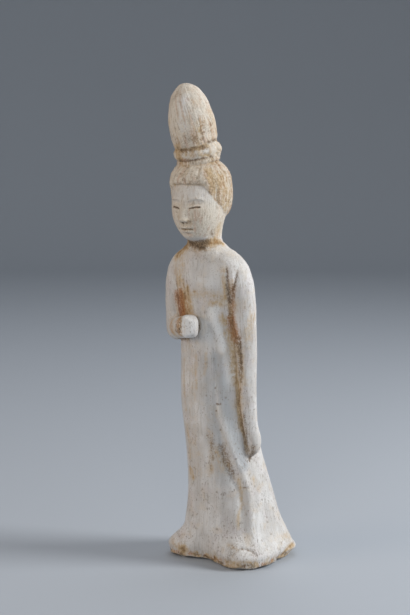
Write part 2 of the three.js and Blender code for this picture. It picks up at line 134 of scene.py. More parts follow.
# Neck, head and hair. The head's own frame bows forward and turns a little, and its rounded
# forms are given there by their middle and their half sizes.
NECK_FOOT = (-10.5, -17, 190, 9.4)
NECK_TOP = (-0.5, 4.4, -8, 12.1)
HEAD = {"at": (-11, -21.2, 228), "bow": 8, "turn": 6}
SKULL = ((0, 2.4, 3.6), (17.5, 18.9, 19.8))
FACE = ((0, -2.6, -3.6), (16, 16.6, 20.2))
JAW = ((0, -7.8, -13.6), (9.4, 9.8, 9.4))
HAIR_CROWN = ((0, 2.6, 5.4), (18.8, 19.8, 19.6))
HAIR_TOP = ((0, 2.4, 12), (18.8, 19.6, 14.8))
HAIR_NAPE = ((0, 4.6, -3), (15.8, 16.2, 15))

# The hair's lower edge in the head's frame, from the front backwards: y and height.
HAIRLINE = np.array([
    (-22, 12.6), (-14, 12.4), (-12, 11), (-10.6, 7.6), (-9.2, 4.4), (-7.6, 1.6),
    (-5.7, -1), (-1.9, -4.6), (2.1, -8), (9, -9.4), (18, -10.5), (26, -11),
])
HAIR_EDGE_SLOPE = 0.6

# The knot of hair and the cord at its foot, in frames of their own that bow forward.
KNOT = {"at": (-12.6, -26.6, 273), "bow": 11, "lean": 4}
KNOT_HALF = (14, 14.8)
KNOT_ABOVE = 27
KNOT_BELOW = 29
CORD = {"at": (-12, -23.5, 258.7), "bow": 12, "turn": -30}
CORD_RADIUS = 11.7
CORD_HALF = (2.7, 3.9)
CORD_BOW = ((7.4, 9.8, -1.25), (3.3, 3.8, 5))
WAIST = (13.1, 8)

# How softly the forms run into one another.
SOFT_SHOULDER = 6
SOFT_TORSO = 2
SOFT_NECK = 2.5
SOFT_NAPE = 4
SOFT_HEAD = 4
SOFT_CROWN = 1.5
SOFT_HAIR = 1.0
SOFT_HAIR_EDGE = 1.6
SOFT_CORD = 0.6
SOFT_BOW = 1.6
SOFT_WAIST = 1
SOFT_ARM = 1.2
SOFT_SOLE = 0.9

# The arms melt further into the body above the armpits, between these heights.
ARMPITS = (162, 180)
SOFT_ARMPIT = 5

# Where the dress ends, where the head, the cord and the knot start, and above which heights
# there is no bare skin.
DRESS_ENDS = (203, 209)
HEAD_STARTS = (203, 208)
CORD_STARTS = (240, 246)
KNOT_STARTS = (254, 258)
NO_SKIN = (245, 248)

# How finely the clay is meshed, in millimetres: the voxel, the height above which the net is
# cut finer, how often points settle on the surface, their longest move in one round, and how
# far off a slope is felt.
VOXEL = 1.2
FINE_ABOVE = 205
FIRST_ROUNDS = 3
LINE_ROUNDS = 4
SETTLE_ROUNDS = 6
LONGEST_MOVE = 1.2
PROBE = 0.05
TINY = 1e-9
FAR_AWAY = 1e9


def bell(distance, spread):
    """1 at no distance, and softly down to 0."""
    return np.exp(-0.5 * (distance / spread) ** 2)


def rise(start, end, value):
    """Goes softly from 0 at start to 1 at end, in either direction."""
    t = np.clip((value - start) / (end - start), 0, 1)
    return t * t * (3 - 2 * t)


def soft_min(a, b, width):
    """The lesser of two distances, run together over a width."""
    near = np.maximum(width - np.abs(a - b), 0) / width
    return np.minimum(a, b) - near * near * width / 4


def soft_max(a, b, width):
    return -soft_min(-a, -b, width)


def through(rows, at):
    """Smooth values through rows of (place, value, ...), one column for each value."""
    rows = np.asarray(rows, float)
    place = rows[:, 0]
    value = rows[:, 1:]
    change = np.vstack([rows[1:], rows[-1:]]) - np.vstack([rows[:1], rows[:-1]])
    slope = change[:, 1:] / change[:, :1]
    at = np.clip(at, place[0], place[-1])
    i = np.clip(np.searchsorted(place, at, side="right") - 1, 0, len(place) - 2)
    span = (place[i + 1] - place[i])[:, None]
    t = (at - place[i])[:, None] / span
    near = value[i] * (1 + 2 * t) * (1 - t) ** 2 + value[i + 1] * t * t * (3 - 2 * t)
    return near + span * (slope[i] * t * (1 - t) ** 2 - slope[i + 1] * t * t * (1 - t))


# Grain for everything hand made and worn: soft random values on a lattice, mostly from -1 to 1.
LATTICE = 48
GRAIN_SPREAD = 1.6


def grain(p, size, seed):
    table = np.random.default_rng(seed).uniform(-1, 1, (LATTICE,) * 3)
    spot = p / np.array(size, float)
    base = np.floor(spot).astype(int)
    t = spot - base
    t = t * t * (3 - 2 * t)
    value = np.zeros(len(p))
    for corner in np.ndindex(2, 2, 2):
        i, j, k = ((base + corner) % LATTICE).T
        share = np.prod(np.where(corner, t, 1 - t), axis=1)
        value += share * table[i, j, k]
    return value * GRAIN_SPREAD


def turned(a, b):
    """The difference between two angles in degrees, from -180 to 180."""
    return (a - b + 180) % 360 - 180


def local(p, place):
    """Takes points into a frame that stands at a place, turned and then bowed forward."""
    turn = math.radians(place.get("turn", 0))
    bow = math.radians(place.get("bow", 0))
    x0, y0, z0 = (p - np.array(place["at"], float)).T
    x = x0 * math.cos(turn) + y0 * math.sin(turn)
    y1 = y0 * math.cos(turn) - x0 * math.sin(turn)
    y = y1 * math.cos(bow) + z0 * math.sin(bow)
    z = z0 * math.cos(bow) - y1 * math.sin(bow)
    return np.column_stack([x, y, z])


def world(q, place):
    """The way back, from a frame to the figure's own millimetres."""
    turn = math.radians(place.get("turn", 0))
    bow = math.radians(place.get("bow", 0))
    x, y, z = np.atleast_2d(q).T
    y1 = y * math.cos(bow) - z * math.sin(bow)
    z1 = y * math.sin(bow) + z * math.cos(bow)
    x1 = x * math.cos(turn) - y1 * math.sin(turn)
    y2 = x * math.sin(turn) + y1 * math.cos(turn)
    return np.column_stack([x1, y2, z1]) + np.array(place["at"], float)


def at_body(places):
    """Places given from the middle of the body, in the figure's own frame."""
    places = np.array(places, float)
    places[:, :2] += through(BODY_LEVELS[:, :3], places[:, 2])
    return places


def bar(p, a, b):
    """The distance to a round bar between two places with radii, and how far along it."""
    way = b[:3] - a[:3]
    t = np.clip((p - a[:3]) @ way / (way @ way), 0, 1)
    gap = np.linalg.norm(p - a[:3] - t[:, None] * way, axis=1)
    return gap - (a[3] + (b[3] - a[3]) * t), t


def smooth_line(places, steps):
    """Points on a centripetal spline through the places, steps to each span."""
    places = np.asarray(places, float)
    guides = np.vstack([2 * places[0] - places[1], places, 2 * places[-1] - places[-2]])
    points = [places[0]]
    for p0, p1, p2, p3 in zip(guides, guides[1:], guides[2:], guides[3:]):
        spans = ((p0, p1), (p1, p2), (p2, p3))
        d0, d1, d2 = (math.sqrt(np.linalg.norm((b - a)[:3])) for a, b in spans)
        lead = d1 * ((p1 - p0) / d0 - (p2 - p0) / (d0 + d1) + (p2 - p1) / d1)
        trail = d1 * ((p2 - p1) / d1 - (p3 - p1) / (d1 + d2) + (p3 - p2) / d2)
        for t in np.arange(1, steps + 1) / steps:
            near = p1 * (1 + 2 * t) * (1 - t) ** 2 + p2 * t * t * (3 - 2 * t)
            points.append(near + lead * t * (1 - t) ** 2 - trail * t * t * (1 - t))
    return np.array(points)


LEFT_LINE = smooth_line(at_body(LEFT_ARM), 4)
RIGHT_LINE = smooth_line(at_body(RIGHT_ARM), 4)
FIST_PLACE = {
    "at": RIGHT_LINE[-1, :3] + (FIST["side"], -FIST["front"], FIST["above"]),
    "turn": FIST["turn"],
}
LIMB_FAR = 30


def limb(p, line):
    """The distance to a limb, and how far along it from 0 to 1."""
    out = np.full(len(p), float(LIMB_FAR))
    along = np.zeros(len(p))
    low, high = line[:, :3].min(0) - LIMB_FAR, line[:, :3].max(0) + LIMB_FAR
    near = np.flatnonzero(((p > low) & (p < high)).all(1))
    for i, (a, b) in enumerate(zip(line, line[1:])):
        gap, t = bar(p[near], a, b)
        closer = gap < out[near]
        out[near[closer]] = gap[closer]
        along[near[closer]] = (i + t[closer]) / (len(line) - 1)
    return out, along


def egg(q, middle, half):
    """An ellipsoid, as a distance that is true close to its surface."""
    u = (q - np.array(middle, float)) / half
    reach = np.linalg.norm(u, axis=1)
    slope = np.linalg.norm(u / half, axis=1) + TINY
    return reach * (reach - 1) / slope


def drapery(angle, z):
    """How far the folds and the hem stand out from the plain section."""
    out = np.zeros(len(z))
    for stops, spread, swell in SKIRT_FOLDS:
        foot, top = stops[0][0], stops[-1][0]
        live = rise(top + FOLD_FADE, top - FOLD_FADE, z) * rise(foot - FOLD_FADE, foot + FOLD_FADE, z)
        out += swell * live * bell(turned(angle, through(stops, z)[:, 0]), spread)
    for at, spread, swell, top in HEM_LOBES:
        out += swell * rise(top, top * 0.3, z) * bell(turned(angle, at), spread)
    return out - HEM_TUCK * np.clip(1 - z / HEM_WIDEST, 0, 1) ** 2


def round_body(p):
    """The angle round the body's middle from the front, in degrees."""
    middle = through(BODY_LEVELS[:, :3], p[:, 2])
    return np.degrees(np.arctan2(p[:, 0] - middle[:, 0], middle[:, 1] - p[:, 1]))


def body(p):
    """Skirt and torso: the distance outside the section at each point's own height."""
    z = p[:, 2]
    x, y, wide, deep, square = through(BODY_LEVELS, z).T
    side = p[:, 0] - x
    front = y - p[:, 1]
    reach = np.hypot(side, front) + TINY
    across = np.abs(side / reach / wide) ** square + np.abs(front / reach / deep) ** square
    section = across ** (-1 / square) + drapery(np.degrees(np.arctan2(side, front)), z)
    return soft_max(reach - section, z - BODY_LEVELS[-1, 0], SOFT_TORSO)


# The face, in millimetres of the head's frame: thirds from the hairline to the brow, the foot of
# the nose and the chin, and eyes a fifth of the face wide.
BROW_Z = 2.6
EYE = {"x": 6.6, "z": -1.7, "half": 3.3}
NOSE = {"root": 1.6, "tip": -8.6, "base": -10.4}
MOUTH = {"z": -14.6, "half": 4.3}
CHIN_Z = -20.2


def eye_line(side):
    """How far across the eye a point lies, from -1 to 1, and the slit's height there."""
    eye = (side - EYE["x"]) / EYE["half"]
    return eye, EYE["z"] + 0.35 * (1 - eye ** 2) + 0.28 * eye


def face_relief(q):
    """How far the features stand out of the plain face."""
    x, y, z = q.T
    side = np.abs(x)
    eye, slit = eye_line(side)
    lid = rise(1.12, 0.75, np.abs(eye))
    out = -1.5 * bell(side - 6.2, 4.2) * bell(z - 0.3, 2.3)
    out += 1.25 * bell(side - EYE["x"], 3.0) * bell(z - EYE["z"], 1.7)
    out += lid * (0.3 * bell(z - slit - 0.75, 0.4) + 0.22 * bell(z - slit + 0.75, 0.4))
    out -= 0.75 * lid * bell(z - slit, 0.34)
    out -= 0.3 * lid * bell(z - slit - 1.75, 0.4)
    arch = BROW_Z + 1.3 * (1 - ((side - 7) / 5) ** 2)
    out += 0.6 * bell(z - arch, 0.65) * rise(1.6, 3.2, side) * rise(12.6, 10.5, side)
    down = np.clip((NOSE["root"] - z) / (NOSE["root"] - NOSE["tip"]), 0, 1)
    bridge = (0.9 + 2.9 * down ** 1.25) * rise(4.6, NOSE["root"], z)
    foot = rise(NOSE["base"] - 0.5, NOSE["tip"], z)
    out += bridge * foot * bell(x, 1.45 + 0.75 * down ** 2)
    out += 1.3 * bell(side - 2.35, 1.0) * bell(z + 8.9, 1.15)
    out -= 0.55 * bell(side - 3.9, 0.7) * bell(z + 8.7, 1.4)
    out -= 0.6 * bell(side - 1.25, 0.55) * bell(z - NOSE["base"], 0.5)
    out -= 0.35 * bell(x, 0.6) * rise(NOSE["base"], -11.2, z) * rise(-13.1, -12.4, z)
    part = MOUTH["z"] - 0.3 * (side / MOUTH["half"]) ** 2 - 0.12 * bell(x, 0.7)
    lips = rise(MOUTH["half"] + 0.6, 1.2, side)
    bow = part + 1.15 - 0.35 * bell(x, 0.8)
    out += lips * (1.05 * bell(z - bow, 0.72) + 1.35 * bell(z - part + 1.25, 0.85))
    out -= 0.95 * rise(MOUTH["half"] + 0.4, MOUTH["half"] - 1.2, side) * bell(z - part, 0.36)
    out -= 0.5 * bell(side - MOUTH["half"] - 0.3, 0.8) * bell(z - part - 0.1, 0.8)
    out -= 0.5 * bell(x, 2.6) * bell(z + 17.6, 0.85)
    out += 0.9 * bell(x, 3.8) * bell(z - CHIN_Z, 2.3)
    out += 0.8 * bell(side - 8.6, 4.3) * bell(z + 9, 4.4)
    out -= 0.35 * bell(side - 4.9 - 0.25 * (-9 - z), 0.9) * rise(-14.6, -12, z) * rise(-8.6, -10.4, z)
    return out * rise(-1, -8, y)


def below_hairline(q):
    """How far each point lies below the hair's edge, which is ragged beside and behind."""
    gap = through(HAIRLINE, q[:, 1])[:, 0] - q[:, 2]
    near = np.flatnonzero((np.abs(gap) < 4) & (np.abs(q[:, 0]) < 30))
    gap[near] += 0.7 * grain(q[near], (3.2, 3.2, 3.2), 30) * rise(-14, -11, q[near, 1])
    return gap


def hair_form(q):
    """The cap of hair, with nothing cut away for the face."""
    crown = soft_min(egg(q, *HAIR_CROWN), egg(q, *HAIR_TOP), SOFT_CROWN)
    return soft_min(crown, egg(q, *HAIR_NAPE), SOFT_HEAD)


def head(p):
    q = local(p, HEAD)
    skull = soft_min(egg(q, *SKULL), egg(q, *FACE), SOFT_HEAD)
    flesh = soft_min(skull, egg(q, *JAW), SOFT_HEAD) - face_relief(q)
    hair = soft_max(hair_form(q), below_hairline(q) * HAIR_EDGE_SLOPE, SOFT_HAIR_EDGE)
    return soft_min(flesh, hair, SOFT_HAIR)


def knot_frame(p):
    """Places in the knot's frame, with its lean taken out."""
    q = local(p, KNOT)
    q[:, 0] += q[:, 2] * math.tan(math.radians(KNOT["lean"]))
    return q


def cord(p):
    """The distance to the ring of cord and its bow."""
    w = local(p, CORD)
    out = np.hypot(w[:, 0], w[:, 1]) - CORD_RADIUS
    ring = (np.hypot(out / CORD_HALF[0], w[:, 2] / CORD_HALF[1]) - 1) * CORD_HALF[0]
    return soft_min(ring, egg(w, *CORD_BOW), SOFT_BOW)


def knot(p):
    """The distance to the knot of hair and to the waist that the cord draws in."""
    q = knot_frame(p)
    high = np.where(q[:, 2] > 0, KNOT_ABOVE, KNOT_BELOW)
    half = np.column_stack([np.full(len(q), KNOT_HALF[0]), np.full(len(q), KNOT_HALF[1]), high])
    w = local(p, CORD)
    waist = soft_max(np.hypot(w[:, 0], w[:, 1]) - WAIST[0], np.abs(w[:, 2]) - WAIST[1], SOFT_WAIST)
    return soft_min(egg(q, (0, 0, 0), half), waist, SOFT_CORD)


def fist(p):
    """The distance to the closed hand, a block with rounded edges."""
    q = np.abs(local(p, FIST_PLACE)) / FIST["half"]
    return ((q ** FIST["square"]).sum(1) ** (1 / FIST["square"]) - 1) * min(FIST["half"])


def trunk(p):
    """The upright mass without its arms."""
    form = body(p)
    for places in SHOULDERS:
        inner, middling, outer = at_body(places)
        shoulder = np.minimum(bar(p, inner, middling)[0], bar(p, middling, outer)[0])
        form = soft_min(form, shoulder, SOFT_SHOULDER)
    top = np.append(world(NECK_TOP[:3], HEAD)[0], NECK_TOP[3])
    form = soft_min(form, bar(p, np.array(NECK_FOOT, float), top)[0], SOFT_NECK)
    form = soft_min(form, head(p), SOFT_NAPE)
    return soft_min(form, soft_min(knot(p), cord(p), SOFT_CORD), SOFT_CORD)


def figure(p):
    """The whole figure's surface, where this is 0, and inside it where it is below 0."""
    meeting = SOFT_ARM + SOFT_ARMPIT * rise(*ARMPITS, p[:, 2])
    form = soft_min(trunk(p), limb(p, LEFT_LINE)[0], meeting)
    right = soft_min(limb(p, RIGHT_LINE)[0], fist(p), SOFT_ARM)
    form = soft_min(form, right, meeting)
    return soft_max(form, -p[:, 2], SOFT_SOLE)


CORNERS = np.array([(1, -1, -1), (-1, -1, 1), (-1, 1, -1), (1, 1, 1)], float)


def way_out(p, form=figure):
    """The form's value and its outward way at each point."""
    values = np.array([form(p + PROBE * corner) for corner in CORNERS])
    slope = (values[:, :, None] * CORNERS[:, None, :]).sum(0) / (4 * PROBE)
    size = np.linalg.norm(slope, axis=1) + TINY
    return values.mean(0) / size, slope / size[:, None]


def settle(p, rounds):
    """Moves points onto the figure's surface."""
    for _ in range(rounds):
        gap, out = way_out(p)
        p = p - np.clip(gap, -LONGEST_MOVE, LONGEST_MOVE)[:, None] * out
    return p


def to_line(p, points, reach):
    """The distance to a run of points on the surface, and how far along it from 0 to 1."""
    points = settle(np.array(points, float), LINE_ROUNDS)
    best = np.full(len(p), FAR_AWAY)
    along = np.zeros(len(p))
    near = np.flatnonzero(((p > points.min(0) - reach) & (p < points.max(0) + reach)).all(1))
    spans = max(len(points) - 1, 1)
    for i, (a, b) in enumerate(zip(points, [*points[1:], points[-1]][:spans])):
        way = b - a
        t = np.clip((p[near] - a) @ way / max(way @ way, TINY), 0, 1)
        gap = np.linalg.norm(p[near] - a - t[:, None] * way, axis=1)
        closer = gap < best[near]
        best[near[closer]] = gap[closer]
        along[near[closer]] = (i + t[closer]) / spans
    return best, along


def ends(along, share=0.18):
    """Fades a line out at both ends."""
    return rise(-0.02, share, along) * rise(1.02, 1 - share, along)


# Lines carved, pressed or raised in the clay: their points, width, height, and the soil on them.
CARVED_LINES = {
    "armpit fold on the body": (
        [(10.6, -22.6, 189.6), (12.2, -23.5, 184.5), (12.7, -23.5, 179), (12.7, -22.7, 173.2),
         (12.4, -21.8, 166)], 0.8, -0.75, 0.8),
    "armpit fold on the arm": (
        [(16, -18.5, 187.8), (16.6, -20.6, 181.8), (16, -21.6, 175.8), (15, -22, 171),
         (13.1, -21.2, 165.1)], 0.75, -0.7, 0.75),
    "ridge between the armpit folds": (
        [(14.4, -22, 184.9), (14.6, -22.2, 180.5), (14.2, -22.2, 175)], 1.0, 0.4, 0),
    "crust in the arm groove": (
        [(12.9, -15.4, 147), (13, -15, 139), (13.2, -14.8, 126.5), (13.4, -14.6, 114)],
        2.0, 1.0, 0),
    "edge of the crust in the arm groove": (
        [(16.6, -17.3, 145), (17, -17.3, 141), (16.8, -16.6, 136.4), (17.2, -16.3, 130),
         (17.1, -16, 124), (17.6, -15.8, 117)], 1.0, -0.6, 0.85),
    "lower edge of the cord": (
        [(-21, -32.1, 252.6), (-15.8, -35, 252), (-10.6, -35.6, 251.9), (-6.6, -34.7, 252.5),
         (-3.4, -32.9, 253.3), (-0.9, -30.2, 253.9), (0.9, -26.5, 254.8)], 0.65, -0.6, 0.8),
    "first finger of the hanging hand": (
        [(18.9, -12, 73), (19.4, -10.6, 67.8), (20, -10.3, 64.6)], 0.5, -0.3, 0.9),
    "second finger of the hanging hand": (
        [(23.6, -10.8, 74.6), (22.4, -9.4, 71.4), (21, -9.4, 67.6)], 0.5, -0.3, 0.9),
    "line down the hanging sleeve": (
        [(20.3, -18.5, 154.2), (18.9, -17.6, 146), (19.4, -16.2, 136.5), (20.3, -15.2, 127.2)],
        0.8, -0.3, 0.25),
    "crease in the hanging sleeve": (
        [(24.6, -12.6, 166), (23.6, -14.6, 158), (22.4, -15.8, 150), (22, -15.9, 142)],
        1.5, -0.45, 0.12),
    "edge of the hanging sleeve": (
        [(19.5, -15.6, 118), (20, -15.3, 104), (20.6, -15, 92)], 0.7, -0.25, 0.2),
    "first fold of the bent sleeve": (
        [(-23.4, -27.8, 182.1), (-22, -28.6, 177.2), (-20.8, -28.6, 172.2), (-20, -28.6, 165)],
        0.7, -0.55, 0.45),
    "second fold of the bent sleeve": (
        [(-18.8, -29.6, 181.8), (-17.6, -30.1, 176.9), (-16.5, -29.9, 171.3), (-16.2, -29.4, 164)],
        0.7, -0.55, 0.45),
    "third fold of the bent sleeve": (
        [(-14.7, -30.6, 180.8), (-13.8, -30.8, 175.9), (-13.4, -30.4, 170.9), (-13.4, -29.7, 163)],
        0.7, -0.45, 0.3),
    "fourth fold of the bent sleeve": (
        [(-26.8, -25.8, 181), (-25.6, -26.6, 175), (-25, -26.2, 168), (-24, -26, 161)],
        0.7, -0.6, 0.5),
    "thumb of the hanging hand": (
        [(19.8, -13.3, 86), (22.2, -12.4, 79.9), (24.2, -9.8, 73.4)], 0.7, -0.4, 0.4),
    "edge of the hanging hand": (
        [(25.5, -5.1, 75.3), (24.2, -8.7, 71.9), (19.6, -9.7, 65.7)], 0.7, -0.35, 0.4),
    "valley down the front": (
        [(-1.3, -28.7, 163), (-0.6, -27.5, 151), (1.4, -26.1, 143.6), (3.5, -24.9, 136.1),
         (4.4, -24.3, 126), (4.3, -24.3, 114.2), (5, -24.1, 102.3)], 1.7, -0.8, 0.1),
    "ridge down the front": (
        [(2, -27.5, 162), (4.6, -25.2, 152.4), (6.4, -23.6, 144.9), (7.6, -22.3, 138.6),
         (7.5, -22.5, 129.9), (7.1, -22.7, 117.4), (7, -23.2, 104.9)], 1.9, 0.9, 0),
    "second pleat of the front": (
        [(-4.8, -29.6, 164), (-4.6, -28.5, 153.3), (-3.9, -27.3, 143.3), (-3, -26.8, 132)],
        1.4, -0.4, 0.08),
    "third pleat of the front": (
        [(-9.6, -29, 150), (-9.2, -27.7, 141.6), (-8.1, -27.1, 131.6), (-6.8, -26.7, 121.6)],
        1.4, -0.35, 0.08),
    "valley across the skirt": (
        [(6.3, -23.3, 85.9), (8.9, -21.6, 70.2), (13.1, -19.8, 60.9), (16.3, -17.9, 54.7),
         (18.7, -16.8, 47.2), (19.8, -17.2, 36), (19, -19.2, 28.6)], 1.6, -0.4, 0.1),
    "edge of the long fold": (
        [(3.2, -24.6, 101.5), (4.6, -24.2, 92.8), (7.4, -23.6, 84.8), (10.8, -22.4, 76.6),
         (13, -21.2, 70), (16, -19.4, 62), (18.6, -17.6, 54)], 1.1, -0.6, 0.14),
    "ridge of the long fold": (
        [(5.3, -24.1, 101), (7, -23.5, 92.4), (10, -22.6, 84.4), (13.2, -21.3, 76.4),
         (15.3, -19.9, 70.1), (18, -18.3, 63), (20.6, -15.7, 54), (22.7, -13.8, 42.1)],
        1.4, 0.5, 0),
    "nick beside the long fold": (
        [(3.4, -24.5, 102.2), (5.8, -23.7, 102), (7.4, -23, 102.8)], 0.55, -0.4, 0.75),
    "crack below the hand": (
        [(19, -17.2, 50), (20.6, -15.6, 50.2), (22.6, -13.3, 49.7)], 0.5, -0.4, 0.5),
    "edge of the left toe": (
        [(17, -28.6, 7), (19.9, -28.7, 9.9), (21.6, -26.9, 12.3), (23.3, -25, 13.8),
         (26.4, -22.9, 13.5), (29, -21.3, 12.3), (31.6, -20.5, 10.1), (33, -19.3, 6.9)],
        0.75, -0.8, 0.5),
    "edge beside the left toe": (
        [(34.8, -17.7, 9.4), (33.6, -12, 12), (31.8, -7, 13.4)], 0.8, -0.35, 0.25),
    "turned corner of the hem": (
        [(32.3, 4.4, 1.1), (32.8, 9.2, 4), (33.1, 13.1, 7.1), (31.4, 21.2, 8.2), (28, 26, 8.4)],
        0.6, -0.6, 0.5),
}

